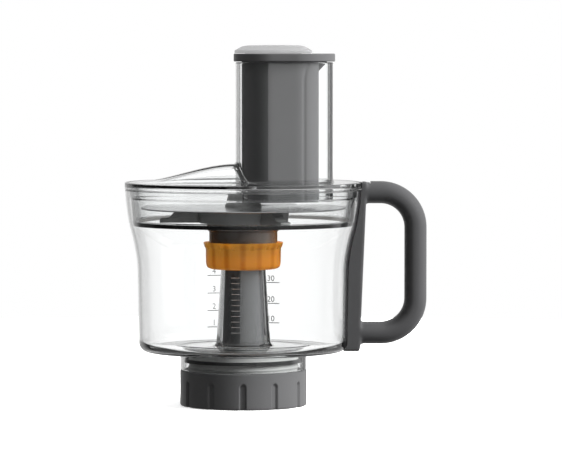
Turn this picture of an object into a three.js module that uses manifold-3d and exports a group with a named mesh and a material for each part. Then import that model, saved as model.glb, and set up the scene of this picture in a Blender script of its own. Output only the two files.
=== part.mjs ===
// A food processor bowl attachment that sits on the high-speed outlet of a stand mixer.
// Millimetres, +Z up. The drive axis is the Z axis, and the origin is the centre of the
// drive coupling's end face, which is level with the foot of the grip collar.
// The handle points along +X and the front of the bowl faces -Y.

import * as THREE from 'three';
import { mergeVertices } from 'three/addons/utils/BufferGeometryUtils.js';
import Module from 'manifold-3d';

const wasm = await Module();
wasm.setup();

// ---- driving dimensions -------------------------------------------------------------

const gap = 0.3; // clearance between touching pieces
const roundSegments = 40; // around the bowl and the lid
const middleSegments = 28; // around the gearbox, the adaptor and the disc hub
const smallSegments = 16; // around shafts, bushes and pins

const collarRadius = 50.8;
const collarHeight = 28.5;
const collarWall = 3.4;
const fluteCount = 12;
const fluteWidth = 5.4;
const fluteDepth = 1.7;
const fluteTop = 20.4;
const socketDepth = 12; // from the foot up to the gearbox floor

const bowlFloor = 46.4; // top of the bowl's floor
const bowlUnderside = 43.4;
const bowlRim = 173.2;
const bowlWall = 2.4;
const bowlRimRadius = 94.8;
const bowlFootRadius = 83.7;

const chimneyTop = 118;
const lidRadius = 95;
const brimBottom = 173.6;
const brimTop = 178.8;
const lidPlate = 2.4;
const sealBottom = 144.6;
const sealTop = 147.8;

const tubeTop = 275;
const tubeBottom = 166;
const tubeWall = 2.2;
const tubeCentreX = 32.9;
const tubeLength = 78.2; // along X
const tubeDepth = 60; // along Y

const pusherFlange = 6.4;
const pusherBottom = 165;
const pusherFlatX = 59.8; // the pusher stops here, which leaves the guide channel open
const capTop = 288.5;

const knobRadius = 14.6; // the disc hub's finger knob, which stands under the feed tube
const knobTop = 171.4;
const discRadius = 82;
const discPlane = 157.4; // underside of the steel plate
const discThickness = 1.2;

const handleReach = 138; // centre line of the grip
const handleCorner = 28;
const armTopZ = 170.8;
const armLowZ = 58;
const gripThickness = 17.8;
const gripWidth = 23;

const gearModule = 1.5;
const sunTeeth = 12;
const planetTeeth = 18;
const ringTeeth = sunTeeth + 2 * planetTeeth;
const planetCount = 3;
const planetOrbit = (gearModule * (sunTeeth + planetTeeth)) / 2;
const gearBottom = 16.2;
const gearTop = 25.8;
const carrierTop = 31.6;

// ---- shape helpers ------------------------------------------------------------------

// A closed geometry as a manifold-3d solid, with its faces pointing out.
function solidOf(geometry) {
  const loose = geometry.index ? geometry.toNonIndexed() : geometry.clone();
  loose.deleteAttribute('normal');
  loose.deleteAttribute('uv');
  const merged = mergeVertices(loose, 1e-4);
  const corners = [];
  for (let i = 0; i < merged.index.count; i += 3) {
    const [a, b, c] = [0, 1, 2].map((k) => merged.index.getX(i + k));
    if (a !== b && b !== c && c !== a) corners.push(a, b, c);
  }
  const build = (order) =>
    new wasm.Manifold(
      new wasm.Mesh({
        numProp: 3,
        vertProperties: new Float32Array(merged.attributes.position.array),
        triVerts: new Uint32Array(order),
      }),
    );
  const made = build(corners);
  if (made.volume() > 0) return made;
  const turned = [];
  for (let i = 0; i < corners.length; i += 3) turned.push(corners[i], corners[i + 2], corners[i + 1]);
  return build(turned);
}

// A manifold-3d solid as a three.js geometry.
function geometryOf(solid) {
  const mesh = solid.getMesh();
  const geometry = new THREE.BufferGeometry();
  const places = new Float32Array(mesh.numVert * 3);
  for (let i = 0; i < mesh.numVert; i++) {
    places.set(mesh.vertProperties.subarray(i * mesh.numProp, i * mesh.numProp + 3), i * 3);
  }
  geometry.setAttribute('position', new THREE.BufferAttribute(places, 3));
  geometry.setIndex(new THREE.BufferAttribute(mesh.triVerts, 1));
  geometry.computeVertexNormals();
  return geometry;
}

// A profile of [radius, height] points turned about the Z axis. It closes on itself.
function turned(profile, segments = roundSegments) {
  const points = profile.map(([r, z]) => new THREE.Vector2(r, z));
  const onAxis = profile[0][0] === 0 && profile[profile.length - 1][0] === 0;
  if (!onAxis) points.push(points[0].clone());
  return solidOf(new THREE.LatheGeometry(points, segments).rotateX(Math.PI / 2));
}

// A plain ring or, with no inner radius, a disc between two heights.
function ring(outer, inner, low, high, segments = smallSegments) {
  const profile = inner > 0
    ? [[inner, low], [outer, low], [outer, high], [inner, high]]
    : [[0, low], [outer, low], [outer, high], [0, high]];
  return turned(profile, segments);
}

// A flat shape raised from one height to another.
function raised(shape, low, high, curveSegments = 10) {
  const options = { depth: high - low, bevelEnabled: false, curveSegments };
  return solidOf(new THREE.ExtrudeGeometry(shape, options).translate(0, 0, low));
}

function box(x0, x1, y0, y1, z0, z1) {
  const geometry = new THREE.BoxGeometry(x1 - x0, y1 - y0, z1 - z0);
  return solidOf(geometry.translate((x0 + x1) / 2, (y0 + y1) / 2, (z0 + z1) / 2));
}

// The same solid moved, or turned in degrees about Z.
const moved = (solid, x, y, z) => solid.translate([x, y, z]);
const spun = (solid, degrees) => solid.rotate([0, 0, degrees]);

// A stadium outline about the point x, y: half a circle at each end.
function stadium(x, y, length, depth) {
  const radius = depth / 2;
  const reach = length / 2 - radius;
  const shape = new THREE.Shape();
  shape.absarc(x + reach, y, radius, -Math.PI / 2, Math.PI / 2, false);
  shape.absarc(x - reach, y, radius, Math.PI / 2, (3 * Math.PI) / 2, false);
  shape.closePath();
  return shape;
}

// The feed tube's outline, taken in by an inset on every side.
const tubeOutline = (inset) =>
  stadium(tubeCentreX, 0, tubeLength - 2 * inset, tubeDepth - 2 * inset);

function materialOf(color, roughness, metalness = 0, opacity = 1) {
  return new THREE.MeshStandardMaterial({
    color,
    roughness,
    metalness,
    opacity,
    transparent: opacity < 1,
  });
}

const clearPlastic = materialOf(0xf2f5f5, 0.08, 0, 0.25);
const darkPlastic = materialOf(0x4a4b4d, 0.45);
const gearPlastic = materialOf(0xd9d6cc, 0.5);
const amberPlastic = materialOf(0xd8821e, 0.25, 0, 0.85);
const smokePlastic = materialOf(0x2a2a2b, 0.35, 0, 0.8);
const frostedPlastic = materialOf(0xc4c6c7, 0.35, 0, 0.85);
const steel = materialOf(0xb9bcbd, 0.28, 1);
const bronze = materialOf(0xa8763c, 0.45, 1);
const rubber = materialOf(0x222222, 0.8);

const part = new THREE.Group();

function add(name, solid, material) {
  const mesh = new THREE.Mesh(geometryOf(solid), material);
  mesh.name = name;
  part.add(mesh);
}

// ---- base: grip collar, gearbox housing and its floor -------------------------------

// The grip collar: a ring with vertical flutes outside, round at the top, and four
// bayonet lugs inside that hold the mixer's outlet.
function gripCollar() {
  const inner = collarRadius - collarWall;
  let body = turned([
    [inner, 0],
    [collarRadius, 0],
    [collarRadius, collarHeight],
    [44, collarHeight],
    [44, collarHeight - 2],
    [inner, collarHeight - 2],
  ], 36);
  const flute = new THREE.Shape();
  flute.moveTo(-fluteWidth / 2, -1);
  flute.lineTo(fluteWidth / 2, -1);
  flute.lineTo(fluteWidth / 2, fluteTop - fluteWidth / 2);
  flute.absarc(0, fluteTop - fluteWidth / 2, fluteWidth / 2, 0, Math.PI, false);
  flute.closePath();
  const options = { depth: 4, bevelEnabled: false, curveSegments: 4 };
  const cutter = solidOf(
    new THREE.ExtrudeGeometry(flute, options)
      .rotateX(Math.PI / 2)
      .translate(0, -(collarRadius - fluteDepth), 0),
  );
  for (let i = 0; i < fluteCount; i++) body = body.subtract(spun(cutter, (i * 360) / fluteCount));
  const lug = box(inner - 2.6, inner + 1, -7, 7, 2.5, 5.5);
  for (let i = 0; i < 4; i++) body = body.add(spun(lug, 45 + i * 90));
  return body;
}

const screwRadius = 1.5;
const screwCircle = 44.2;
const screwCount = 4;
const screwAngle = (i) => 22.5 + (i * 360) / screwCount;

// The gearbox housing: a cup turned upside down, with a neck inside the bowl's clear
// skirt and a bearing boss in its roof.
function gearboxHousing() {
  let body = turned([
    [41, 15],
    [47, 15],
    [47, collarHeight - 2.3],
    [43.6, collarHeight - 2.3],
    [43.6, 42.9],
    [18.9, 42.9],
    [18.9, 36],
    [21.4, 36],
    [21.4, 40.4],
    [41, 40.4],
  ], middleSegments);
  const pilot = moved(ring(screwRadius + gap, 0, 14, 23.4, 8), screwCircle, 0, 0);
  for (let i = 0; i < screwCount; i++) body = body.subtract(spun(pilot, screwAngle(i)));
  return body;
}

function gearboxFloor() {
  let body = ring(46.8, 8.3, socketDepth, 14.7, middleSegments);
  const hole = moved(ring(screwRadius + gap, 0, 11, 16, 8), screwCircle, 0, 0);
  for (let i = 0; i < screwCount; i++) body = body.subtract(spun(hole, screwAngle(i)));
  return body;
}

function baseScrew() {
  return turned([
    [0, socketDepth - 2],
    [2.3, socketDepth - 2],
    [2.3, socketDepth - gap],
    [screwRadius, socketDepth - gap],
    [screwRadius, 22.6],
    [0, 23.1],
  ], 8);
}

add('grip_collar', gripCollar(), darkPlastic);
add('gearbox_housing', gearboxHousing(), darkPlastic);
add('gearbox_floor', gearboxFloor(), darkPlastic);
for (let i = 0; i < screwCount; i++) {
  add(`base_screw_${i + 1}`, spun(moved(baseScrew(), screwCircle, 0, 0), screwAngle(i)), steel);
}

// ---- planetary gear set -------------------------------------------------------------

const pressureAngle = (25 * Math.PI) / 180;
const toothThinning = 0.14; // taken off each tooth's thickness, for backlash
const flankSteps = 2;
const involute = (angle) => Math.tan(angle) - angle;

// The half angle that a tooth of an external gear takes up at a radius.
function toothHalfAngle(teeth, radius, thinning) {
  const pitch = (gearModule * teeth) / 2;
  const base = pitch * Math.cos(pressureAngle);
  const at = Math.acos(Math.min(1, base / Math.max(radius, base)));
  return Math.PI / (2 * teeth) - thinning / (2 * pitch) + involute(pressureAngle) - involute(at);
}

// The closed outline of a gear's teeth, from radius low to radius high. A tooth is
// centred on the start angle.
function toothOutline(teeth, low, high, thinning, start) {
  const base = ((gearModule * teeth) / 2) * Math.cos(pressureAngle);
  const from = Math.max(low, base);
  const radii = [];
  if (low < base) radii.push(low);
  for (let k = 0; k <= flankSteps; k++) radii.push(from + ((high - from) * k) / flankSteps);
  const points = [];
  for (let t = 0; t < teeth; t++) {
    const middle = start + (t * 2 * Math.PI) / teeth;
    const side = (r, sign) => {
      const angle = middle + sign * toothHalfAngle(teeth, r, thinning);
      points.push(new THREE.Vector2(r * Math.cos(angle), r * Math.sin(angle)));
    };
    radii.forEach((r) => side(r, -1));
    [...radii].reverse().forEach((r) => side(r, 1));
  }
  return points;
}

function externalGear(teeth, bore, start) {
  const pitch = (gearModule * teeth) / 2;
  const root = pitch - 1.2 * gearModule;
  const tip = pitch + 0.92 * gearModule;
  const outline = toothOutline(teeth, root, tip, toothThinning, start);
  const shape = new THREE.Shape(outline);
  shape.holes.push(new THREE.Path().absarc(0, 0, bore, 0, 2 * Math.PI, true));
  return raised(shape, gearBottom, gearTop, 8);
}

// The fixed ring gear. Its tooth spaces have the form of an external gear's teeth.
function ringGear() {
  const pitch = (gearModule * ringTeeth) / 2;
  const spaces = toothOutline(
    ringTeeth,
    pitch - 0.88 * gearModule,
    pitch + 1.2 * gearModule,
    -toothThinning,
    Math.PI / ringTeeth,
  );
  const shape = new THREE.Shape().absarc(0, 0, 40.6, 0, 2 * Math.PI, false);
  shape.holes.push(new THREE.Path(spaces.reverse()));
  return raised(shape, gearBottom, gearTop + 0.2, middleSegments / 2);
}

const pinRadius = 3;
const planetAngle = (i) => (i * 360) / planetCount;

function planetPin() {
  return turned([
    [0, 15],
    [4.6, 15],
    [4.6, 15.9],
    [pinRadius, 15.9],
    [pinRadius, carrierTop],
    [0, carrierTop],
  ], 10);
}

// The planet carrier: a round plate with three pin holes and a hub for the output shaft.
function planetCarrier() {
  let body = turned(
    [[5, 26.6], [32, 26.6], [32, carrierTop], [12, carrierTop], [12, 35.4], [5, 35.4]],
    middleSegments,
  );
  const hole = moved(ring(pinRadius + gap, 0, 26, 33, 10), planetOrbit, 0, 0);
  for (let i = 0; i < planetCount; i++) body = body.subtract(spun(hole, planetAngle(i)));
  return body;
}

add('ring_gear', ringGear(), gearPlastic);
add('sun_gear', externalGear(sunTeeth, 4 + gap, 0), steel);
for (let i = 0; i < planetCount; i++) {
  const angle = planetAngle(i);
  const space = ((angle + 180 + 180 / planetTeeth) * Math.PI) / 180;
  const turn = (angle * Math.PI) / 180;
  const orbit = [planetOrbit * Math.cos(turn), planetOrbit * Math.sin(turn)];
  const gear = externalGear(planetTeeth, pinRadius + gap, space);
  add(`planet_gear_${i + 1}`, moved(gear, ...orbit, 0), gearPlastic);
  add(`planet_pin_${i + 1}`, spun(moved(planetPin(), planetOrbit, 0, 0), angle), steel);
}
add('planet_carrier', planetCarrier(), darkPlastic);

// ---- input side: coupling, spindle and bush -----------------------------------------

// The drive dog that the mixer's outlet turns: a hub with six round lobes.
function inputCoupling() {
  let body = ring(8.4, 0, 0, 11.4);
  const lobe = moved(ring(2.6, 0, 0, 9.4, 10), 8.2, 0, 0);
  for (let i = 0; i < 6; i++) body = body.add(spun(lobe, i * 60));
  return body.subtract(ring(4 + gap, 0, 3, 12));
}

add('input_coupling', inputCoupling(), darkPlastic);
add('input_spindle', ring(4, 0, 3.3, 30), steel);
const inputBush = [[4.3, 11.7], [8, 11.7], [8, 15], [9.6, 15], [9.6, 15.8], [4.3, 15.8]];
add('input_bush', turned(inputBush, smallSegments), bronze);
add('spindle_circlip', ring(6, 4.3, 26.1, 26.5), steel);

// ---- output side: bush, seal and the conical drive shaft ----------------------------

add('output_bush', ring(18.6, 14.3, 36, 40.8, middleSegments), bronze);
add('shaft_seal', turned([[14.3, 41.1], [18.6, 41.1], [18.6, 42.9], [15.4, 42.9]], middleSegments), rubber);

// The drive shaft: a tapered sleeve, open below, with a boss at each end for the spindle.
function driveShaft() {
  return turned([
    [5, 35.7],
    [14, 35.7],
    [14, 43.2],
    [17, 46.6],
    [14.6, 108.4],
    [14.2, 117],
    [11, 120],
    [4.8, 120],
    [4.8, 110],
    [12, 110],
    [14.4, 49],
    [11.4, 45],
    [5, 45],
  ], middleSegments);
}

// The chimney's top bearing, a thin sleeve between the shaft and the clear chimney.
const chimneyBushSection = [[14.6, 113.5], [15.2, 113.5], [15.2, 117.8], [14.6, 117.8]];
const chimneyBush = () => turned(chimneyBushSection, middleSegments);

add('drive_shaft', driveShaft(), darkPlastic);
add('output_spindle', turned([[0, 32], [4.5, 32], [4.5, 132.5], [0, 134]], smallSegments), steel);
add('chimney_bush', chimneyBush(), bronze);

// ---- bowl ---------------------------------------------------------------------------

// The outside of the bowl from its lower corner to the rim: [radius, height].
const bowlOutside = [
  [79.6, bowlUnderside],
  [bowlFootRadius, 47.6],
  [84.8, 114.8],
  [85.8, 122.8],
  [88, 132.4],
  [91.7, 146.4],
  [93.6, 159],
  [bowlRimRadius, bowlRim],
];

// One clear moulding: wall, floor, the skirt round the gearbox and the chimney in the
// middle, which keeps the drive shaft out of the food.
function bowl() {
  const inside = bowlOutside
    .slice(1)
    .map(([r, z]) => [r - bowlWall, z])
    .reverse();
  inside[inside.length - 1] = [81.2, 50.4];
  return turned([
    [47.9, collarHeight + gap],
    [50.6, collarHeight + gap],
    [50.6, bowlUnderside],
    ...bowlOutside,
    ...inside,
    [78.4, bowlFloor + 0.6],
    [52.6, bowlFloor],
    [52, bowlFloor + 0.8],
    [24, bowlFloor + 0.8],
    [21.6, 50],
    [18, 108.4],
    [17.4, chimneyTop],
    [15.5, chimneyTop],
    [15.9, 108.4],
    [19.2, 49],
    [19.2, bowlUnderside],
    [47.9, bowlUnderside],
  ]);
}

add('bowl', bowl(), clearPlastic);
add('bowl_gasket', turned([[44, 35], [47.5, 35], [47.5, 37.6], [44, 37.6]], middleSegments), rubber);

// ---- handle -------------------------------------------------------------------------

// The centre line of the D-shaped grip, from the upper arm down to the lower one.
function gripLine() {
  const bend = handleCorner * 0.5523; // makes a cubic curve follow a quarter circle
  const cornerX = handleReach - handleCorner;
  const at = (x, z) => new THREE.Vector3(x, 0, z);
  const path = new THREE.CurvePath();
  path.add(new THREE.LineCurve3(at(97, armTopZ), at(cornerX, armTopZ)));
  path.add(new THREE.CubicBezierCurve3(
    at(cornerX, armTopZ),
    at(cornerX + bend, armTopZ),
    at(handleReach, armTopZ - handleCorner + bend),
    at(handleReach, armTopZ - handleCorner),
  ));
  path.add(new THREE.LineCurve3(
    at(handleReach, armTopZ - handleCorner),
    at(handleReach, armLowZ + handleCorner),
  ));
  path.add(new THREE.CubicBezierCurve3(
    at(handleReach, armLowZ + handleCorner),
    at(handleReach, armLowZ + handleCorner - bend),
    at(cornerX + bend, armLowZ),
    at(cornerX, armLowZ),
  ));
  path.add(new THREE.LineCurve3(at(cornerX, armLowZ), at(90, armLowZ)));
  return path;
}

// A rounded section: an ellipse drawn out a little towards its corners.
function gripSection() {
  const points = [];
  const sides = 16;
  for (let i = 0; i < sides; i++) {
    const angle = (i * 2 * Math.PI) / sides;
    const [c, s] = [Math.cos(angle), Math.sin(angle)];
    const fullness = 0.8;
    points.push(new THREE.Vector2(
      (gripThickness / 2) * Math.sign(c) * Math.abs(c) ** fullness,
      (gripWidth / 2) * Math.sign(s) * Math.abs(s) ** fullness,
    ));
  }
  return new THREE.Shape(points);
}

// Everything that the handle's spine must stay clear of: the bowl, and above its rim the
// lid's brim.
function bowlAndLidSpace() {
  const clear = bowlOutside.map(([r, z]) => [r + gap, z]);
  return turned([
    [0, 40],
    [79.6 + gap, 40],
    ...clear.slice(0, -1),
    [bowlRimRadius + 2 * gap, bowlRim - gap],
    [lidRadius + 2 * gap, 185],
    [0, 185],
  ]);
}

const tabReach = 101.3; // the lid's locking tab, from the axis
const tabHalfWidth = 7;

function handle() {
  const side = new THREE.Shape([
    [76, 43.6],
    [93.2, 43.6],
    [93.9, 48.6],
    [94.2, 66.9],
    [98.2, 161.9],
    [99, 179.7],
    [88, 179.7],
  ].map(([x, z]) => new THREE.Vector2(x, z)));
  const halfWidth = 11.5;
  const options = { depth: 2 * halfWidth, bevelEnabled: false };
  const spine = solidOf(
    new THREE.ExtrudeGeometry(side, options).rotateX(Math.PI / 2).translate(0, halfWidth, 0),
  );
  const sweep = { steps: 40, bevelEnabled: false, extrudePath: gripLine() };
  const grip = solidOf(new THREE.ExtrudeGeometry(gripSection(), sweep));
  const tabRoom = ring(tabReach + 0.5, 0, 173.3, 185, roundSegments)
    .intersect(box(60, 130, -tabHalfWidth - 0.6, 40, 170, 190));
  return spine.add(grip).subtract(bowlAndLidSpace()).subtract(tabRoom);
}

add('handle', handle(), darkPlastic);

// ---- lid, its seal and the feed tube ------------------------------------------------

// How far the lid's top rises at a place: a hill that climbs from the left edge of the
// lid to the feed tube and fades away in front and behind.
function rampHeight(x, y) {
  const limit = (v) => Math.min(1, Math.max(0, v));
  const ease = (v) => 0.5 - 0.5 * Math.cos(Math.PI * limit(v));
  const top = 14.6;
  const along = x < -6 ? ease(1 - (-6 - x) / 84) : 1 - ease((x + 6) / 24);
  const across = 1 - ease((Math.abs(y) - 8) / 18);
  return top * along * across;
}

function lid() {
  const plateRadii = [78, 60, 42, 24, 8];
  const plateTop = brimTop;
  const plateLow = brimTop - lidPlate;
  const profile = [
    [0, plateLow],
    ...[...plateRadii].reverse().map((r) => [r, plateLow]),
    [88.2, plateLow],
    [87.8, 166],
    [85.8, sealTop + gap],
    [88.4, sealTop + gap],
    [90.2, 166],
    [91, 167],
    [91.4, brimBottom],
    [lidRadius, brimBottom],
    [lidRadius, brimTop],
    [90, plateTop],
    ...plateRadii.map((r) => [r, plateTop]),
    [0, plateTop],
  ];
  const points = profile.map(([r, z]) => new THREE.Vector2(r, z));
  const shell = new THREE.LatheGeometry(points, roundSegments).rotateX(Math.PI / 2);
  const place = shell.attributes.position;
  for (let i = 0; i < place.count; i++) {
    const [x, y, z] = [place.getX(i), place.getY(i), place.getZ(i)];
    const onPlate = z > plateLow - 0.1 && Math.hypot(x, y) < 85;
    if (onPlate) place.setZ(i, z + rampHeight(x, y));
  }
  const tab = ring(tabReach, lidRadius - 2, brimBottom + 0.2, brimTop - 0.2, roundSegments)
    .intersect(box(80, 110, -tabHalfWidth, tabHalfWidth, 160, 190));
  const hole = raised(tubeOutline(-gap), 150, 210);
  return solidOf(shell).add(tab).subtract(hole);
}

// The room that the turning knob needs at the foot of the tube and the pushers.
const knobRoom = () => ring(knobRadius + 1.6, 0, 150, knobTop + 1.4, middleSegments);

function feedTube() {
  const outline = tubeOutline(0);
  outline.holes.push(tubeOutline(tubeWall));
  return raised(outline, tubeBottom, tubeTop - gap).subtract(knobRoom());
}

add('lid', lid(), clearPlastic);
const sealSection = [[84.8, sealBottom], [88, sealBottom], [88.5, sealTop], [84.8, sealTop]];
add('lid_seal', turned(sealSection), smokePlastic);
add('feed_tube', feedTube(), clearPlastic);

// ---- pushers ------------------------------------------------------------------------

const innerPusherX = 24;
const innerPusherLength = 46;
const innerPusherDepth = 38;
const innerOutline = (inset) =>
  stadium(innerPusherX, 0, innerPusherLength - 2 * inset, innerPusherDepth - 2 * inset);

// The large pusher: an outer wall and an inner tube that hang from one flange. The wall
// is flat on the side of the guide channel, and a gusset there carries the flange.
function largePusher() {
  const wall = 2.2;
  const play = 2.8;
  const cut = (inset) => box(pusherFlatX - inset, 120, -60, 60, 150, 300);
  const outer = raised(tubeOutline(tubeWall + play), pusherBottom, tubeTop + gap).subtract(cut(0));
  const wallInside = tubeOutline(tubeWall + play + wall);
  const inner = raised(wallInside, pusherBottom - 1, tubeTop + gap + 1).subtract(cut(wall));
  const sleeve = raised(innerOutline(-2), pusherBottom, tubeTop + 1);
  const flange = raised(tubeOutline(-1.5), tubeTop + gap, tubeTop + gap + pusherFlange);
  const gussetSide = new THREE.Shape([
    [pusherFlatX - 1, 267.5],
    [pusherFlatX, 267.5],
    [67.4, tubeTop + 1],
    [pusherFlatX - 1, tubeTop + 1],
  ].map(([x, z]) => new THREE.Vector2(x, z)));
  const options = { depth: 3, bevelEnabled: false };
  const gusset = solidOf(
    new THREE.ExtrudeGeometry(gussetSide, options).rotateX(Math.PI / 2).translate(0, 1.5, 0),
  );
  return outer
    .subtract(inner)
    .add(sleeve)
    .add(flange)
    .add(moved(gusset, 0, -5, 0))
    .add(moved(gusset, 0, 5, 0))
    .subtract(raised(innerOutline(0), pusherBottom - 2, 290))
    .subtract(knobRoom());
}

const flangeTop = tubeTop + gap + pusherFlange;

// The small pusher: a cup with a lip that rests on the large pusher's flange. It ends
// just above the knob.
function smallPusher() {
  const foot = knobTop + 1.6;
  const cup = raised(innerOutline(gap + 0.2), foot, flangeTop + gap);
  const lip = raised(innerOutline(-4), flangeTop + gap, flangeTop + gap + 1.4);
  return cup.add(lip).subtract(raised(innerOutline(2.5), foot + 2.4, 290));
}

// The dome cap on the small pusher: flat layers that step in towards the top.
function pusherCap() {
  const low = flangeTop + gap;
  const levels = [[low, 8], [low + 2.6, 8], [low + 4.4, 5.8], [low + 5.8, 1.6], [capTop, -4]];
  const layers = levels.map(([z, grow]) => {
    const points = innerOutline(-grow).getPoints(12).slice(0, -1);
    return points.map((p) => new THREE.Vector3(p.x, p.y, z));
  });
  return domeOf(layers).subtract(raised(innerOutline(-4 - gap), low - 1, low + 1.4 + gap));
}

// A closed solid through rings of points, one above the other, with flat ends.
function domeOf(layers) {
  const count = layers[0].length;
  const places = layers.flat().flatMap((p) => [p.x, p.y, p.z]);
  const faces = [];
  for (let l = 0; l + 1 < layers.length; l++) {
    for (let i = 0; i < count; i++) {
      const [a, b] = [l * count + i, l * count + ((i + 1) % count)];
      faces.push(a, b, b + count, a, b + count, a + count);
    }
  }
  const top = (layers.length - 1) * count;
  for (let i = 1; i + 1 < count; i++) {
    faces.push(0, i + 1, i);
    faces.push(top, top + i, top + i + 1);
  }
  const geometry = new THREE.BufferGeometry();
  geometry.setAttribute('position', new THREE.Float32BufferAttribute(places, 3));
  geometry.setIndex(faces);
  return solidOf(geometry);
}

add('large_pusher', largePusher(), darkPlastic);
add('small_pusher', smallPusher(), frostedPlastic);
add('pusher_cap', pusherCap(), frostedPlastic);

// ---- drive adaptor, disc hub and the slicing disc -----------------------------------

// The amber adaptor: a cup that drops over the chimney, with a web that the spindle
// drives and a flared lip.
function driveAdaptor() {
  return turned([
    [18.6, 109.4],
    [27, 109.4],
    [29.2, 110.6],
    [30, 113],
    [30, 126.6],
    [32, 131],
    [29.4, 131],
    [27.4, 127.6],
    [27.4, 122.6],
    [5, 122.6],
    [5, 120.4],
    [27.4, 120.4],
    [27.4, 113.4],
    [26, 112],
    [18.6, 112],
  ], middleSegments);
}

const armCount = 3;
const armAngle = (i) => 180 + (i * 360) / armCount;

// The disc hub: a hollow neck that stands in the adaptor, a round head with three arms
// under the plate, and a finger knob above it.
function discHub() {
  let body = turned([
    [5, 122.9],
    [26.6, 122.9],
    [26.6, 141.6],
    [29, 141.6],
    [29, 145.6],
    [36, 145.6],
    [37, 157],
    [knobRadius, 157],
    [knobRadius - 2.8, knobTop - 0.8],
    [5, knobTop],
  ], middleSegments);
  const armSide = new THREE.Shape([
    [30, 145.8],
    [67, 145.8],
    [67, 149.2],
    [60, 149.2],
    [53, 157],
    [30, 157],
  ].map(([x, z]) => new THREE.Vector2(x, z)));
  const options = { depth: 9, bevelEnabled: false };
  const arm = solidOf(
    new THREE.ExtrudeGeometry(armSide, options).rotateX(Math.PI / 2).translate(0, 4.5, 0),
  );
  for (let i = 0; i < armCount; i++) body = body.add(spun(arm, armAngle(i)));
  return body;
}

const bladeAngle = 62; // where the blade lies, in degrees about the axis
const bladeLow = 22;
const bladeHigh = 76;
const discTop = discPlane + discThickness;

// The steel plate, with the slicing mouth cut through it.
function slicingDisc() {
  const mouth = spun(box(bladeLow, bladeHigh, -9, 7, 150, 170), bladeAngle);
  return ring(discRadius, knobRadius + gap, discPlane, discTop, roundSegments).subtract(mouth);
}

// The blade: a strip over the mouth, ground to an edge along its front.
function slicingBlade() {
  const section = new THREE.Shape([
    [-12, discTop + gap],
    [-4, discTop + 2.4],
    [7, discTop + 3.6],
    [8.6, discTop + 3.3],
    [-3, discTop + 1],
    [-11, discTop + gap],
  ].map(([y, z]) => new THREE.Vector2(y, z)));
  const options = { depth: bladeHigh - bladeLow, bevelEnabled: false };
  const strip = new THREE.ExtrudeGeometry(section, options)
    .rotateX(Math.PI / 2)
    .rotateZ(Math.PI / 2)
    .translate(bladeLow, 0, 0);
  return spun(solidOf(strip), bladeAngle);
}

add('drive_adaptor', driveAdaptor(), amberPlastic);
add('disc_hub', discHub(), darkPlastic);
add('slicing_disc', slicingDisc(), steel);
add('slicing_blade', slicingBlade(), steel);

export default part;
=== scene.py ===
import math

import bmesh
import bpy
import numpy as np
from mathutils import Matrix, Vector


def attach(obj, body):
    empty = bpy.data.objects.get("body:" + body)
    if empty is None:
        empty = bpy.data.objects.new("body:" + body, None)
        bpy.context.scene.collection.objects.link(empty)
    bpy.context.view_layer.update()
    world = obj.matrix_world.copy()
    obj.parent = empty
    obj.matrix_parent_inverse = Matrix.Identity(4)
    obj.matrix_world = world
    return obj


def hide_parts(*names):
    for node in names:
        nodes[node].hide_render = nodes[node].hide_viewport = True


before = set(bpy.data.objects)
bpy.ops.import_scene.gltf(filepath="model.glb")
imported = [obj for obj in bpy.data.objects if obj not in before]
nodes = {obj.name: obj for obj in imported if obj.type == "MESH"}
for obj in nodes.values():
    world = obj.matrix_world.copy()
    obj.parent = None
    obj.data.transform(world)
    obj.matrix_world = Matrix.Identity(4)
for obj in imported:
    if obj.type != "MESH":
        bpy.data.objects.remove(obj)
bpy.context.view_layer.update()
mm = 0.001
print("frame loaded:", len(nodes), "nodes")


# All shapes are worked out in millimetres and put into the meshes in metres.

# Every corner (a, b, radius) becomes a quadratic curve between two points that lie a
# radius away along its sides, with a support point just outside each of them.
def softOutline(corners, steps=5):
    rows = np.array(corners, float)
    point, radius = rows[:, :2], rows[:, 2:3]
    back, ahead = np.roll(point, 1, 0) - point, np.roll(point, -1, 0) - point
    backLength = np.linalg.norm(back, axis=1, keepdims=True)
    aheadLength = np.linalg.norm(ahead, axis=1, keepdims=True)
    radius = np.minimum(radius, 0.45 * np.minimum(backLength, aheadLength))
    start, end = point + back / backLength * radius, point + ahead / aheadLength * radius
    before = point + back / backLength * np.minimum(1.5 * radius + 0.02, 0.48 * backLength)
    after = point + ahead / aheadLength * np.minimum(1.5 * radius + 0.02, 0.48 * aheadLength)
    t = np.linspace(0, 1, steps)[None, :, None]
    curve = (1 - t) ** 2 * start[:, None] + 2 * t * (1 - t) * point[:, None] + t**2 * end[:, None]
    sharp = rows[:, 2] == 0
    before[sharp], after[sharp] = point[sharp], point[sharp]
    return np.concatenate([before[:, None], curve, after[:, None]], 1).reshape(-1, 2)


# Adds points to a line at an even spacing and keeps the ones it has.
def withSteps(line, spacing, closed=True):
    path = np.vstack([line, line[:1]]) if closed else line
    along = np.concatenate([[0], np.cumsum(np.linalg.norm(np.diff(path, axis=0), axis=1))])
    marks = np.unique(np.round(np.concatenate([along, np.arange(0, along[-1], spacing)]), 6))
    dense = np.stack([np.interp(marks, along, path[:, i]) for i in range(path.shape[1])], 1)
    return dense[:-1] if closed else dense


# Joins each grid point to its next neighbours. wrapU and wrapV close the grid on itself.
def gridFaces(countU, countV, wrapU, wrapV):
    u, v = np.meshgrid(
        np.arange(countU if wrapU else countU - 1),
        np.arange(countV if wrapV else countV - 1),
        indexing="ij",
    )
    nextU, nextV = (u + 1) % countU, (v + 1) % countV
    corners = [u * countV + v, nextU * countV + v, nextU * countV + nextV, u * countV + nextV]
    return np.stack(corners, -1).reshape(-1, 4)


# Six times the signed volume under the quads, which is negative where they face inwards.
def facesInwards(points, quads):
    a, b, c, d = (points[quads[:, i]] for i in range(4))
    return np.sum(a * np.cross(b, c)) + np.sum(a * np.cross(c, d)) < 0


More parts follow.
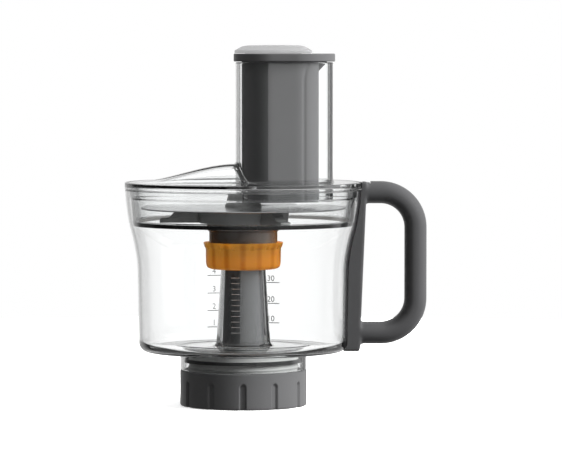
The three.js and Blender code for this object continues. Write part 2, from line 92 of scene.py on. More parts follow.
def meshFromArrays(name, points, quads):
    if facesInwards(points, quads):
        quads = quads[:, ::-1]
    mesh = bpy.data.meshes.new(name)
    mesh.vertices.add(len(points))
    mesh.vertices.foreach_set("co", np.ascontiguousarray(points * mm, np.float32).ravel())
    mesh.loops.add(quads.size)
    mesh.loops.foreach_set("vertex_index", np.ascontiguousarray(quads, np.int32).ravel())
    mesh.polygons.add(len(quads))
    mesh.polygons.foreach_set("loop_start", np.arange(0, quads.size, 4, dtype=np.int32))
    mesh.update(calc_edges=True)
    mesh.validate()
    return mesh


# Makes an object of one closed grid or several, merging the points that fall together.
def makePiece(name, grids, material=None):
    whole = bmesh.new()
    for points, wrapU, wrapV in grids:
        countU, countV = points.shape[:2]
        part = meshFromArrays(name, points.reshape(-1, 3), gridFaces(countU, countV, wrapU, wrapV))
        own = bmesh.new()
        own.from_mesh(part)
        bmesh.ops.remove_doubles(own, verts=own.verts, dist=1e-7)
        bmesh.ops.dissolve_degenerate(own, edges=own.edges, dist=1e-7)
        own.to_mesh(part)
        own.free()
        whole.from_mesh(part)
        bpy.data.meshes.remove(part)
    mesh = bpy.data.meshes.new(name)
    whole.to_mesh(mesh)
    whole.free()
    mesh.polygons.foreach_set("use_smooth", np.full(len(mesh.polygons), True))
    piece = bpy.data.objects.new(name, mesh)
    bpy.context.scene.collection.objects.link(piece)
    if material:
        mesh.materials.append(material)
    return piece


def anglesRound(segments):
    return np.arange(segments) * 2 * np.pi / segments


# Turns a closed line of [radius, height] points about the drive axis.
def turnedGrid(line, segments=192):
    angle = anglesRound(segments)
    r, z = line[:, 0][None], line[:, 1][None]
    x, y = r * np.cos(angle)[:, None], r * np.sin(angle)[:, None]
    return np.stack([x, y, np.broadcast_to(z, x.shape)], -1)


# Scales a turned grid's distance from the drive axis point by point.
def swollen(grid, factor):
    return np.stack([grid[..., 0] * factor, grid[..., 1] * factor, grid[..., 2]], -1)


def turnedPiece(name, corners, material, segments=192):
    return makePiece(name, [(turnedGrid(softOutline(corners), segments), True, True)], material)


# A stadium's middle points and normals: half a turn round each end and a straight run
# between them. A point at distance d from the middle line is middle + normal * d.
def stadiumFrame(centreX, reach, arcSteps=48, straightSteps=8):
    turn = np.linspace(-np.pi / 2, np.pi / 2, arcSteps)
    run = np.linspace(reach, -reach, straightSteps + 2)[1:-1]
    middleX = np.concatenate([np.full(arcSteps, reach), run, np.full(arcSteps, -reach), -run])
    angle = np.concatenate([
        turn,
        np.full(straightSteps, np.pi / 2),
        turn + np.pi,
        np.full(straightSteps, -np.pi / 2),
    ])
    middle = np.stack([middleX + centreX, np.zeros_like(middleX)], 1)
    return middle, np.stack([np.cos(angle), np.sin(angle)], 1)


# Carries a line of [distance from the middle line, height] points round a stadium.
def stadiumGrid(line, centreX, reach, arcSteps=48):
    middle, normal = stadiumFrame(centreX, reach, arcSteps)
    flat = middle[:, None] + normal[:, None] * line[None, :, :1]
    height = np.broadcast_to(line[None, :, 1:], flat[..., :1].shape)
    return np.concatenate([flat, height], -1)


# Carries a closed section round a path in the XZ plane: section x lies along the path's
# normal in that plane, section y along Y.
def sweptGrid(path, section):
    tangent = np.gradient(path, axis=0)
    tangent /= np.linalg.norm(tangent, axis=1, keepdims=True)
    normal = np.stack([tangent[:, 1], -tangent[:, 0]], 1)
    place = path[:, None] + normal[:, None] * section[None, :, :1]
    across = np.broadcast_to(section[None, :, 1], place.shape[:2])
    return np.stack([place[..., 0], across, place[..., 1]], -1)


# Closes a tube of rings at both ends, with a ring drawn together in each end's middle.
def withEnds(rings):
    first, last = [rings[i].mean(0)[None, None].repeat(rings.shape[1], 1) for i in (0, -1)]
    return np.concatenate([first, rings, last], 0)


# A closed loop whose radius follows |cos|^n and |sin|^n, between an ellipse and a box.
def superEllipse(halfX, halfY, fullness, count=48):
    angle = anglesRound(count)
    c, s = np.cos(angle), np.sin(angle)
    return np.stack([
        halfX * np.sign(c) * np.abs(c) ** fullness,
        halfY * np.sign(s) * np.abs(s) ** fullness,
    ], 1)


# A loop raised between two heights with rounded edges: the loop shrinks towards its
# centre as a quarter circle at each end, and closes on the centre.
def raisedGrid(loop, low, high, edge, axis="z"):
    quarter = np.linspace(0, np.pi / 2, 5)
    height = np.concatenate([
        [low], low + edge * (1 - np.cos(quarter)), high - edge * (1 - np.cos(quarter))[::-1], [high],
    ])
    inset = np.concatenate([[0], edge * (1 - np.sin(quarter)), edge * (1 - np.sin(quarter))[::-1], [0]])
    centre = loop.mean(0)
    offset = loop - centre
    length = np.linalg.norm(offset, axis=1, keepdims=True)
    grid = centre + offset[:, None] * (1 - inset[None, :, None] / length[:, None])
    grid[:, 0], grid[:, -1] = centre, centre
    z = np.broadcast_to(height[None, :, None], grid[..., :1].shape)
    made = np.concatenate([grid, z], -1)
    return made if axis == "z" else made[..., [0, 2, 1]]


# A rectangle's outline with rounded corners and points at an even spacing.
def roundedBox(x0, x1, y0, y1, corner=1.0, spacing=3.0):
    return withSteps(softOutline([
        (x0, y0, corner), (x1, y0, corner), (x1, y1, corner), (x0, y1, corner),
    ]), spacing)


# The same grid turned about the drive axis by an angle in degrees.
def spun(grid, degrees):
    c, s = math.cos(math.radians(degrees)), math.sin(math.radians(degrees))
    x, y, z = grid[..., 0], grid[..., 1], grid[..., 2]
    return np.stack([x * c - y * s, x * s + y * c, z], -1)


def easeStep(value):
    t = np.clip(value, 0, 1)
    return t * t * (3 - 2 * t)


def madeMesh(holder):
    return bpy.data.meshes.new_from_object(holder.evaluated_get(bpy.context.evaluated_depsgraph_get()))


# Puts what an object's modifiers make into its own mesh.
def applyModifiers(piece):
    made = madeMesh(piece)
    piece.modifiers.clear()
    piece.data = made


# Cuts other closed pieces out of a piece, removes them, and leaves hard edges where its
# faces meet at more than the angle.
def cutOut(piece, cutters, material, hardAngle):
    for cutter in cutters:
        cut = piece.modifiers.new("cut", "BOOLEAN")
        cut.operation = "DIFFERENCE"
        cut.solver = "EXACT"
        cut.object = cutter
    applyModifiers(piece)
    for cutter in cutters:
        bpy.data.objects.remove(cutter)
    piece.data.materials.clear()
    piece.data.materials.append(material)
    piece.data.polygons.foreach_set("use_smooth", np.full(len(piece.data.polygons), True))
    piece.data.set_sharp_from_angle(angle=math.radians(hardAngle))


def place(piece, body, slot, *replaced):
    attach(piece, body)
    if replaced:
        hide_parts(*replaced)


def newMaterial(name):
    material = bpy.data.materials.new(name)
    material.use_nodes = True
    tree = material.node_tree
    tree.nodes.clear()
    output = tree.nodes.new("ShaderNodeOutputMaterial")
    shader = tree.nodes.new("ShaderNodeBsdfPrincipled")
    tree.links.new(shader.outputs["BSDF"], output.inputs["Surface"])
    return material, tree, shader, output


def newGroup(name, inputs, outputs):
    group = bpy.data.node_groups.new(name, "ShaderNodeTree")
    for label, kind, value in inputs:
        socket = group.interface.new_socket(name=label, in_out="INPUT", socket_type=kind)
        if value is not None:
            socket.default_value = value
    for label, kind in outputs:
        group.interface.new_socket(name=label, in_out="OUTPUT", socket_type=kind)
    return group, group.nodes.new("NodeGroupInput"), group.nodes.new("NodeGroupOutput")


def link(tree, source, target):
    tree.links.new(source, target)


def mathNode(tree, operation, a, b=None):
    node = tree.nodes.new("ShaderNodeMath")
    node.operation = operation
    for index, value in enumerate((a, b)):
        if value is None:
            continue
        if isinstance(value, (int, float)):
            node.inputs[index].default_value = value
        else:
            link(tree, value, node.inputs[index])
    return node.outputs[0]


def noiseNode(tree, vector, scale, detail=3.0, roughness=0.55):
    node = tree.nodes.new("ShaderNodeTexNoise")
    for label, value in (("Scale", scale), ("Detail", detail), ("Roughness", roughness)):
        if isinstance(value, (int, float)):
            node.inputs[label].default_value = value
        else:
            link(tree, value, node.inputs[label])
    link(tree, vector, node.inputs["Vector"])
    return node.outputs["Fac"]


def rangeNode(tree, value, low, high, newLow, newHigh):
    node = tree.nodes.new("ShaderNodeMapRange")
    link(tree, value, node.inputs["Value"])
    for index, number in enumerate((low, high, newLow, newHigh), 1):
        if isinstance(number, (int, float)):
            node.inputs[index].default_value = number
        else:
            link(tree, number, node.inputs[index])
    return node.outputs["Result"]


# A point's x, y and z on the piece, and its distance from the drive axis.
def pieceAxes(tree):
    split = tree.nodes.new("ShaderNodeSeparateXYZ")
    link(tree, tree.nodes.new("ShaderNodeTexCoord").outputs["Object"], split.inputs[0])
    return split.outputs


def axisDistance(tree, axes):
    squares = [mathNode(tree, "MULTIPLY", axes[i], axes[i]) for i in (0, 1)]
    return mathNode(tree, "SQRT", mathNode(tree, "ADD", *squares))


# Mixes two colours by a mask. A colour is three numbers or another node's output.
def colourMix(tree, mask, first, second):
    mix = tree.nodes.new("ShaderNodeMix")
    mix.data_type = "RGBA"
    link(tree, mask, mix.inputs[0])
    for index, colour in ((6, first), (7, second)):
        if isinstance(colour, tuple):
            mix.inputs[index].default_value = (*colour, 1)
        else:
            link(tree, colour, mix.inputs[index])
    return mix.outputs[2]


# Moulded grain: a fine even texture for the height, and slow cloudy changes of sheen.
def buildGrainGroup():
    group, inlet, outlet = newGroup(
        "mouldedGrain",
        [("Grain Size", "NodeSocketFloat", 2600.0), ("Cloud Size", "NodeSocketFloat", 28.0)],
        [("Height", "NodeSocketFloat"), ("Cloud", "NodeSocketFloat")],
    )
    coords = group.nodes.new("ShaderNodeTexCoord").outputs["Object"]
    fine = noiseNode(group, coords, inlet.outputs["Grain Size"], 2.0)
    cloud = noiseNode(group, coords, inlet.outputs["Cloud Size"], 4.0)
    link(group, fine, outlet.inputs["Height"])
    link(group, cloud, outlet.inputs["Cloud"])
    return group


# Handling marks: thin hair lines in two directions and a few soft smudges, as a mask.
def buildMarksGroup():
    group, inlet, outlet = newGroup(
        "handlingMarks",
        [("Line Size", "NodeSocketFloat", 90.0), ("Amount", "NodeSocketFloat", 0.5)],
        [("Lines", "NodeSocketFloat"), ("Smudge", "NodeSocketFloat")],
    )
    coords = group.nodes.new("ShaderNodeTexCoord").outputs["Object"]
    masks = []
    for turn, stretch in (((0.3, 0.5, 0.9), (1, 1, 14)), ((1.1, -0.4, 0.2), (12, 1, 1))):
        mapping = group.nodes.new("ShaderNodeMapping")
        mapping.inputs["Rotation"].default_value = turn
        mapping.inputs["Scale"].default_value = stretch
        link(group, coords, mapping.inputs["Vector"])
        noise = noiseNode(group, mapping.outputs["Vector"], inlet.outputs["Line Size"], 3.0)
        masks.append(rangeNode(group, noise, 0.64, 0.72, 0.0, inlet.outputs["Amount"]))
    link(group, mathNode(group, "MAXIMUM", *masks), outlet.inputs["Lines"])
    smudge = noiseNode(group, coords, 34.0, 2.0)
    cloudy = rangeNode(group, smudge, 0.48, 0.75, 0.0, inlet.outputs["Amount"])
    link(group, cloudy, outlet.inputs["Smudge"])
    return group


# Brushed rings: noise that is stretched round the drive axis, from the distance to it.
def buildBrushGroup():
    group, inlet, outlet = newGroup(
        "brushedRings",
        [("Rings", "NodeSocketFloat", 9000.0)],
        [("Height", "NodeSocketFloat"), ("Streak", "NodeSocketFloat")],
    )
    axes = pieceAxes(group)
    angle = mathNode(group, "ARCTAN2", axes[1], axes[0])
    joined = group.nodes.new("ShaderNodeCombineXYZ")
    rings = mathNode(group, "MULTIPLY", axisDistance(group, axes), inlet.outputs["Rings"])
    link(group, rings, joined.inputs[0])
    link(group, mathNode(group, "MULTIPLY", angle, 2.0), joined.inputs[1])
    link(group, axes[2], joined.inputs[2])
    streak = noiseNode(group, joined.outputs[0], 1.0, 2.0)
    link(group, streak, outlet.inputs["Height"])
    link(group, streak, outlet.inputs["Streak"])
    return group


groups = {"grain": buildGrainGroup(), "marks": buildMarksGroup(), "brush": buildBrushGroup()}


def addGroup(tree, key, **values):
    node = tree.nodes.new("ShaderNodeGroup")
    node.node_tree = groups[key]
    for label, value in values.items():
        node.inputs[label.replace("_", " ")].default_value = value
    return node


def addBump(tree, shader, height, strength, distance):
    bump = tree.nodes.new("ShaderNodeBump")
    bump.inputs["Strength"].default_value = strength
    bump.inputs["Distance"].default_value = distance
    link(tree, height, bump.inputs["Height"])
    link(tree, bump.outputs["Normal"], shader.inputs["Normal"])


# Opaque moulded plastic: two close tones by cloud, grain in the height, hair lines that
# lift the roughness, and a painted glow in the emission where a look asks for one.
def mouldedPlastic(name, look):
    material, tree, shader, _ = newMaterial(name)
    grain = addGroup(tree, "grain", Grain_Size=look["grain"], Cloud_Size=look["cloud"])
    marks = addGroup(tree, "marks", Amount=look["marks"])
    tint = colourMix(tree, grain.outputs["Cloud"], look["dark"], look["light"])
    link(tree, tint, shader.inputs["Base Color"])
    base = rangeNode(tree, grain.outputs["Cloud"], 0.3, 0.7, look["rough"] - 0.04, look["rough"] + 0.04)
    worn = mathNode(tree, "ADD", base, mathNode(tree, "MULTIPLY", marks.outputs["Lines"], 0.12))
    link(tree, worn, shader.inputs["Roughness"])
    addBump(tree, shader, grain.outputs["Height"], look["bump"], 0.00012)
    shader.inputs["IOR"].default_value = 1.5
    shader.inputs["Subsurface Weight"].default_value = look.get("inner", 0.0)
    shader.inputs["Subsurface Radius"].default_value = look.get("spread", (1.0, 1.0, 1.0))
    shader.inputs["Subsurface Scale"].default_value = look.get("depth", 0.006)
    # painted glow: white emission that brightens the plastic though it is no lamp
    shader.inputs["Emission Color"].default_value = (1, 1, 1, 1)
    shader.inputs["Emission Strength"].default_value = look.get("glow", 0.0)
    return material


# Clear plastic that bends light. Lamps and soft light pass straight through it, so that
# what stands inside is lit.
def clearPlastic(name, look):
    material, tree, shader, output = newMaterial(name)
    shader.inputs["Base Color"].default_value = (*look["tint"], 1)
    shader.inputs["IOR"].default_value = look["ior"]
    shader.inputs["Transmission Weight"].default_value = 1.0
    marks = addGroup(tree, "marks", Amount=look["marks"])
    film = mathNode(tree, "MULTIPLY", marks.outputs["Smudge"], 0.004)
    hair = mathNode(tree, "MULTIPLY", marks.outputs["Lines"], 0.01)
    rough = mathNode(tree, "ADD", mathNode(tree, "ADD", film, hair), look["rough"])
    link(tree, rough, shader.inputs["Roughness"])
    path = tree.nodes.new("ShaderNodeLightPath")
    surface = shader.outputs["BSDF"]
    for ray in ("Is Diffuse Ray", "Is Shadow Ray"):
        straight = tree.nodes.new("ShaderNodeBsdfTransparent")
        straight.inputs["Color"].default_value = (*look["shade"], 1)
        mix = tree.nodes.new("ShaderNodeMixShader")
        link(tree, path.outputs[ray], mix.inputs[0])
        link(tree, surface, mix.inputs[1])
        link(tree, straight.outputs[0], mix.inputs[2])
        surface = mix.outputs[0]
    link(tree, surface, output.inputs["Surface"])
    return material


# Metal: brushed rings round the drive axis and streaks that change the roughness.
def brushedMetal(name, look):
    material, tree, shader, _ = newMaterial(name)
    brush = addGroup(tree, "brush", Rings=look["rings"])
    marks = addGroup(tree, "marks", Amount=look["marks"])
    tint = colourMix(tree, brush.outputs["Streak"], look["dark"], look["light"])
    link(tree, tint, shader.inputs["Base Color"])
    shader.inputs["Metallic"].default_value = 1.0
    base = rangeNode(tree, brush.outputs["Streak"], 0.3, 0.7, look["rough"] - 0.06, look["rough"] + 0.08)
    worn = mathNode(tree, "ADD", base, mathNode(tree, "MULTIPLY", marks.outputs["Smudge"], 0.12))
    link(tree, worn, shader.inputs["Roughness"])
    addBump(tree, shader, brush.outputs["Height"], look["bump"], 0.00006)
    return material


def shaderOf(material):
    return next(node for node in material.node_tree.nodes if node.type == "BSDF_PRINCIPLED")


# The seal ring is dark outside, and its face towards the bowl's middle is painted pale: painted light that
# makes the far half, where that face is seen, read bright.
def addPaintedPaleInside(material, radius, pale):
    tree, shader = material.node_tree, shaderOf(material)
    distance = axisDistance(tree, pieceAxes(tree))
    outside = rangeNode(tree, distance, (radius - 0.1) * mm, (radius + 0.1) * mm, 0.0, 1.0)
    dark = shader.inputs["Base Color"].links[0].from_socket
    link(tree, colourMix(tree, outside, pale, dark), shader.inputs["Base Color"])


# Painted panels of light in the amber plastic: the colour of its painted glow changes with the angle round
# the drive axis, standing in for the light and shade of facets.
def addPaintedPanelGlow(material, count, bright, deep):
    tree, shader = material.node_tree, shaderOf(material)
    axes = pieceAxes(tree)
    angle = mathNode(tree, "ARCTAN2", axes[1], axes[0])
    wave = mathNode(tree, "COSINE", mathNode(tree, "MULTIPLY", angle, float(count)))
    between = rangeNode(tree, wave, -1.0, -0.2, 1.0, 0.0)
    link(tree, colourMix(tree, between, bright, deep), shader.inputs["Emission Color"])


# A thin see-through wall: faint where it is seen face on and full at its edges.
def addThinFilm(material, faceOn):
    tree, shader = material.node_tree, shaderOf(material)
    facing = tree.nodes.new("ShaderNodeLayerWeight").outputs["Facing"]
    link(tree, rangeNode(tree, facing, 0.3, 0.95, faceOn, 1.0), shader.inputs["Alpha"])


looks = {
    "dark": dict(dark=(0.04, 0.04, 0.041), light=(0.049, 0.049, 0.05), rough=0.48, grain=2600.0,
                 cloud=26.0, marks=0.5, bump=0.15),
    "grip": dict(dark=(0.026, 0.026, 0.027), light=(0.032, 0.032, 0.033), rough=0.5, grain=2600.0,
                 cloud=26.0, marks=0.5, bump=0.3),
    # hub and neck: the dark plastic painted lighter, painted light that makes up for the shade under the
    # disc, the bowl and the amber sleeve
    "hub": dict(dark=(0.16, 0.161, 0.158), light=(0.185, 0.186, 0.182), rough=0.46, grain=2400.0,
                cloud=30.0, marks=0.5, bump=0.25),
    "neck": dict(dark=(0.1, 0.1, 0.1), light=(0.115, 0.115, 0.114), rough=0.46, grain=2400.0,
                 cloud=30.0, marks=0.5, bump=0.15),
    "gearbox": dict(dark=(0.036, 0.037, 0.037), light=(0.045, 0.046, 0.046), rough=0.46, grain=2400.0,
                    cloud=30.0, marks=0.5, bump=0.25),
    # amber: glow is a painted glow, standing in for light that passes through and spreads in the amber
    "amber": dict(dark=(0.105, 0.03, 0.002), light=(0.13, 0.044, 0.003), rough=0.4, grain=900.0,
                  cloud=60.0, marks=0.4, bump=0.08, inner=1.0, depth=0.04,
                  spread=(1.0, 0.45, 0.12), glow=0.27),
    "film": dict(dark=(0.1, 0.04, 0.01), light=(0.13, 0.055, 0.014), rough=0.35, grain=900.0,
                 cloud=60.0, marks=0.3, bump=0.05),
    # frosted: glow is a painted glow that evens out and lightens the shading of the cap and small pusher
    "frosted": dict(dark=(0.032, 0.032, 0.033), light=(0.038, 0.038, 0.039), rough=0.5, grain=1500.0,
                    cloud=40.0, marks=0.5, bump=0.1, inner=1.0, depth=0.03, glow=0.3),
    "gears": dict(dark=(0.62, 0.6, 0.54), light=(0.7, 0.68, 0.62), rough=0.4, grain=1200.0,
                  cloud=50.0, marks=0.3, bump=0.1),
    "rubber": dict(dark=(0.012, 0.012, 0.012), light=(0.02, 0.02, 0.02), rough=0.62, grain=1800.0,
                   cloud=60.0, marks=0.2, bump=0.3),
    "smoke": dict(dark=(0.006, 0.006, 0.006), light=(0.012, 0.012, 0.012), rough=0.25, grain=1500.0,
                  cloud=60.0, marks=0.2, bump=0.05),
    "print": dict(dark=(0.08, 0.08, 0.08), light=(0.12, 0.12, 0.12), rough=0.5, grain=1500.0,
                  cloud=60.0, marks=0.2, bump=0.05),
    "clear": dict(tint=(0.985, 0.99, 0.99), shade=(0.97, 0.975, 0.975), ior=1.49, rough=0.0, marks=0.6),
    "steel": dict(dark=(0.5, 0.503, 0.506), light=(0.64, 0.643, 0.646), rough=0.2, rings=9000.0,
                  marks=0.5, bump=0.12),
    "bronze": dict(dark=(0.42, 0.26, 0.1), light=(0.55, 0.36, 0.16), rough=0.4, rings=3000.0,
                   marks=0.3, bump=0.1),
}


def makeMaterial(key):
    if key == "clear":
        return clearPlastic(key + "Plastic", looks[key])
    if "rings" in looks[key]:
        return brushedMetal(key, looks[key])
    return mouldedPlastic(key + "Plastic", looks[key])


materials = {key: makeMaterial(key) for key in looks}
# painted light: the seal's inner face is painted pale
addPaintedPaleInside(materials["smoke"], 85.3, (0.85, 0.85, 0.85))
# painted glow in panels round the amber adaptor
addPaintedPanelGlow(materials["amber"], 14, (1.0, 0.45, 0.06), (0.62, 0.24, 0.02))
addThinFilm(materials["film"], 0.12)
print("materials made:", len(materials))


view = {
    "distance": 3.0,  # from the drive axis
    "height": 0.2844,
    "aim": (0.0302, 0.0, 0.1372),
    "lens": 240.0,
}


def makeCamera():
    camera = bpy.data.objects.new("camera", bpy.data.cameras.new("camera"))
    camera.location = (view["aim"][0], -view["distance"], view["height"])
    towards = Vector(view["aim"]) - camera.location
    camera.rotation_euler = towards.to_track_quat("-Z", "Y").to_euler()
    camera.data.lens = view["lens"]
    camera.data.clip_end = 200
    bpy.context.scene.collection.objects.link(camera)
    bpy.context.scene.camera = camera


lamps = {
    # name: (place, aim, width, height, power)
    "keyRight": ((2.1, -0.7, 1.15), (0, 0, 0.15), 1.0, 1.3, 300),
    "rimLeft": ((-1.5, 0.9, 0.8), (0, 0, 0.12), 0.2, 1.2, 14),
    "overhead": ((0.1, 0.3, 2.1), (0, 0, 0), 1.6, 1.6, 20),
}


def makeLamps():
    for name, (spot, aim, width, height, power) in lamps.items():
        data = bpy.data.lights.new(name, "AREA")
        data.shape = "RECTANGLE"
        data.size, data.size_y = width, height
        data.energy = power
        lamp = bpy.data.objects.new(name, data)
        lamp.location = spot
        lamp.rotation_euler = (Vector(aim) - Vector(spot)).to_track_quat("-Z", "Y").to_euler()
        lamp.visible_camera = False
        lamp.visible_transmission = False
        lamp.visible_glossy = False
        bpy.context.scene.collection.objects.link(lamp)


room = {
    # strength of the soft light, and what it gains from the left to the right and front
    "sky": 0.64,
    "skySide": (0.38, -0.12),
    "floor": 0.93,
    "floorGlow": 0.45,
    "floorRadius": 1000,
    "floorHeight": -0.4,
    # strength against the share of a quarter turn, clockwise from +Y
    "bent": (
        (0.0, 1.2), (0.11, 1.2), (0.14, 0.01), (0.45, 0.01), (0.53, 0.45), (0.83, 0.45), (0.87, 1.2),
        (1.0, 1.2),
    ),
    # strength against the share of a full turn, anticlockwise from +Y, so that 0.5 is -Y
    "gloss": (
        (0.0, 0.85), (0.1, 0.75), (0.14, 0.12), (0.43, 0.05), (0.455, 0.05), (0.462, 0.95), (0.6, 1.1),
        (0.75, 1.2), (0.86, 0.8), (1.0, 0.85),
    ),
    # Pairs of heights, from -1 below to 1 overhead, between which a light changes to the
    # strength under the pair. The first two are for light that a wall both bends and mirrors.
    "below": (-0.25, -0.12),
    "above": (0.4, 0.6),
    "faded": 0.06,
    "ceiling": (0.3, 0.5),
    "ceilingLight": 0.5,
    "overhead": (0.35, 0.7),
    "overheadLight": 0.9,
    "table": (-0.06, -0.045),
    "tableLight": 0.05,
    "underfoot": (-0.35, -0.2),
    # the back of the room begins between these depths
    "back": (0.2, 0.4),
}


def rampNode(tree, value, stops):
    node = tree.nodes.new("ShaderNodeValToRGB")
    while len(node.color_ramp.elements) < len(stops):
        node.color_ramp.elements.new(1.0)
    top = max(level for _, level in stops)
    for element, (position, level) in zip(node.color_ramp.elements, stops):
        element.position = position
        element.color = (level / top,) * 3 + (1,)
    link(tree, value, node.inputs[0])
    return mathNode(tree, "MULTIPLY", node.outputs[0], float(top))


def mixNode(tree, share, first, second):
    mix = tree.nodes.new("ShaderNodeMix")
    link(tree, share, mix.inputs[0])
    for index, value in ((2, first), (3, second)):
        if isinstance(value, float):
            mix.inputs[index].default_value = value
        else:
            link(tree, value, mix.inputs[index])
    return mix.outputs[0]


# White all round for the camera, and an even sky for soft light. What clear plastic bends
# is white straight ahead in each quarter and dark beside it, under a dark ceiling, which
# draws the outlines of its walls. What plastics mirror is bright on the right.
def makeRoom():
    world = bpy.data.worlds.new("studio")
    bpy.context.scene.world = world
    world.use_nodes = True
    tree = world.node_tree
    tree.nodes.clear()
    output = tree.nodes.new("ShaderNodeOutputWorld")
    split = tree.nodes.new("ShaderNodeSeparateXYZ")
    link(tree, tree.nodes.new("ShaderNodeTexCoord").outputs["Generated"], split.inputs[0])
    x, y, z = split.outputs
    quarter = mathNode(tree, "DIVIDE", mathNode(tree, "ARCTAN2", x, y), math.pi / 2)
    bent = rampNode(tree, mathNode(tree, "FRACT", quarter), room["bent"])
    bent = mathNode(tree, "MULTIPLY", bent, rangeNode(tree, z, *room["ceiling"], 1.0, room["ceilingLight"]))
    bent = mathNode(tree, "MAXIMUM", bent, rangeNode(tree, z, *room["underfoot"], 1.0, 0.0))
    turn = mathNode(tree, "ARCTAN2", mathNode(tree, "MULTIPLY", x, -1.0), y)
    turn = mathNode(tree, "FRACT", mathNode(tree, "DIVIDE", turn, 2 * math.pi))
    gloss = rampNode(tree, turn, room["gloss"])
    behind = rangeNode(tree, y, *room["back"], 0.0, 1.0)
    above = mathNode(tree, "MAXIMUM", rangeNode(tree, z, *room["table"], room["tableLight"], 1.0), behind)
    gloss = mathNode(tree, "MULTIPLY", gloss, above)
    top = rangeNode(tree, z, *room["overhead"], 0.0, room["overheadLight"])
    low = rangeNode(tree, z, *room["below"], room["faded"], 1.0)
    high = rangeNode(tree, z, *room["above"], 1.0, room["faded"])
    guided = mathNode(tree, "MULTIPLY", bent, mathNode(tree, "MULTIPLY", low, high))
    sideways = mathNode(tree, "MULTIPLY", x, room["skySide"][0])
    frontal = mathNode(tree, "MULTIPLY", y, room["skySide"][1])
    sky = mathNode(tree, "ADD", mathNode(tree, "ADD", sideways, frontal), room["sky"])
    path = tree.nodes.new("ShaderNodeLightPath")
    passed, seen = path.outputs["Is Transmission Ray"], path.outputs["Is Camera Ray"]
    mirrored = mathNode(tree, "MINIMUM", path.outputs["Glossy Depth"], 1.0)
    mirror = mixNode(tree, mathNode(tree, "MULTIPLY", passed, behind), gloss, guided)
    mirror = mathNode(tree, "MAXIMUM", mirror, top)
    level = mixNode(tree, passed, sky, bent)
    level = mixNode(tree, mirrored, level, mirror)
    level = mixNode(tree, seen, level, 1.0)
    glow = tree.nodes.new("ShaderNodeBackground")
    glow.inputs["Color"].default_value = (1, 1, 1, 1)
    link(tree, level, glow.inputs["Strength"])
    link(tree, glow.outputs[0], output.inputs["Surface"])


def makeFloor():
    material, _, shader, _ = newMaterial("paleFloor")
    shader.inputs["Base Color"].default_value = (room["floor"],) * 3 + (1,)
    shader.inputs["Roughness"].default_value = 0.9
    shader.inputs["Specular IOR Level"].default_value = 0.1
    shader.inputs["Emission Color"].default_value = (1, 1, 1, 1)
    shader.inputs["Emission Strength"].default_value = room["floorGlow"]
    radius = np.array([0, 0.5, 0.8, 1.0]) * room["floorRadius"]
    line = np.stack([radius, np.full(len(radius), room["floorHeight"])], 1)
    floor = makePiece("floor", [(turnedGrid(line, 96), True, False)], material)
    if floor.data.polygons[0].normal.z < 0:
        floor.data.flip_normals()
    floor.visible_diffuse = False
    floor.visible_glossy = False
    floor.visible_transmission = False


makeCamera()
makeLamps()
makeRoom()
makeFloor()
bpy.context.scene.view_settings.view_transform = "Standard"
bpy.context.scene.cycles.transmission_bounces = 24
bpy.context.scene.cycles.max_bounces = 28
bpy.context.scene.cycles.transparent_max_bounces = 24
print("studio ready")


collar = {
    "radius": 50.8, "inner": 47.4, "top": 28.5, "lip": 44.0, "lipThick": 2.0,
    "flutes": 12, "fluteWidth": 5.4, "fluteDepth": 1.7, "fluteTop": 20.4, "fluteEdge": 0.55,
    "lugs": 4, "lugFrom": 44.8, "lugTo": 48.4, "lugHalf": 7.0, "lugLow": 2.5, "lugTop": 5.5,
}


# The grip collar: a ring turned about the axis. Inside a flute the outer radius drops by
# the flute's depth; a flute is where the arc to its middle and the height above its round
# end are together less than half its width.
def makeCollar():
    inner, outer, top = collar["inner"], collar["radius"], collar["top"]
    lip, under = collar["lip"], top - collar["lipThick"]
    line = withSteps(softOutline([
        (inner, 0, 0.5), (outer - 0.3, 0, 0.6), (outer, 1.6, 0.5), (outer, top, 0.7), (lip, top, 0.4),
        (lip, under, 0.4), (inner, under, 0.6),
    ]), 0.9)
    segments = collar["flutes"] * 48
    pitch = 2 * np.pi / collar["flutes"]
    arc = (((anglesRound(segments) + pitch / 2) % pitch) - pitch / 2)[:, None] * outer
    half = collar["fluteWidth"] / 2
    up = np.maximum(line[:, 1][None] - (collar["fluteTop"] - half), 0)
    depth = easeStep((half - np.hypot(arc, up)) / collar["fluteEdge"]) * collar["fluteDepth"]
    onOutside = easeStep((line[:, 0][None] - inner - 1.2) / 1.2)
    ring = swollen(turnedGrid(line, segments), 1 - depth * onOutside / outer)
    lugLoop = roundedBox(collar["lugFrom"], collar["lugTo"], -collar["lugHalf"], collar["lugHalf"], 0.8)
    lug = raisedGrid(lugLoop, collar["lugLow"], collar["lugTop"], 0.5)
    turns = [45 + 360 / collar["lugs"] * i for i in range(collar["lugs"])]
    parts = [(ring, True, True)] + [(spun(lug, turn), True, False) for turn in turns]
    place(makePiece("gripCollar", parts, materials["dark"]), "base", "dark_plastic", "grip_collar")


gearbox = {
    "radius": 43.6, "inner": 41.0, "top": 42.9, "roof": 2.5, "low": 15.0, "foot": 47.0, "footTop": 26.1,
    "boss": 21.4, "bore": 18.9, "bossLow": 36.0,
    "threads": 3, "threadLow": 30.2, "threadClimb": 1.2, "threadGap": 6.4, "threadHalf": 0.75,
    "threadHeight": 0.8,
}


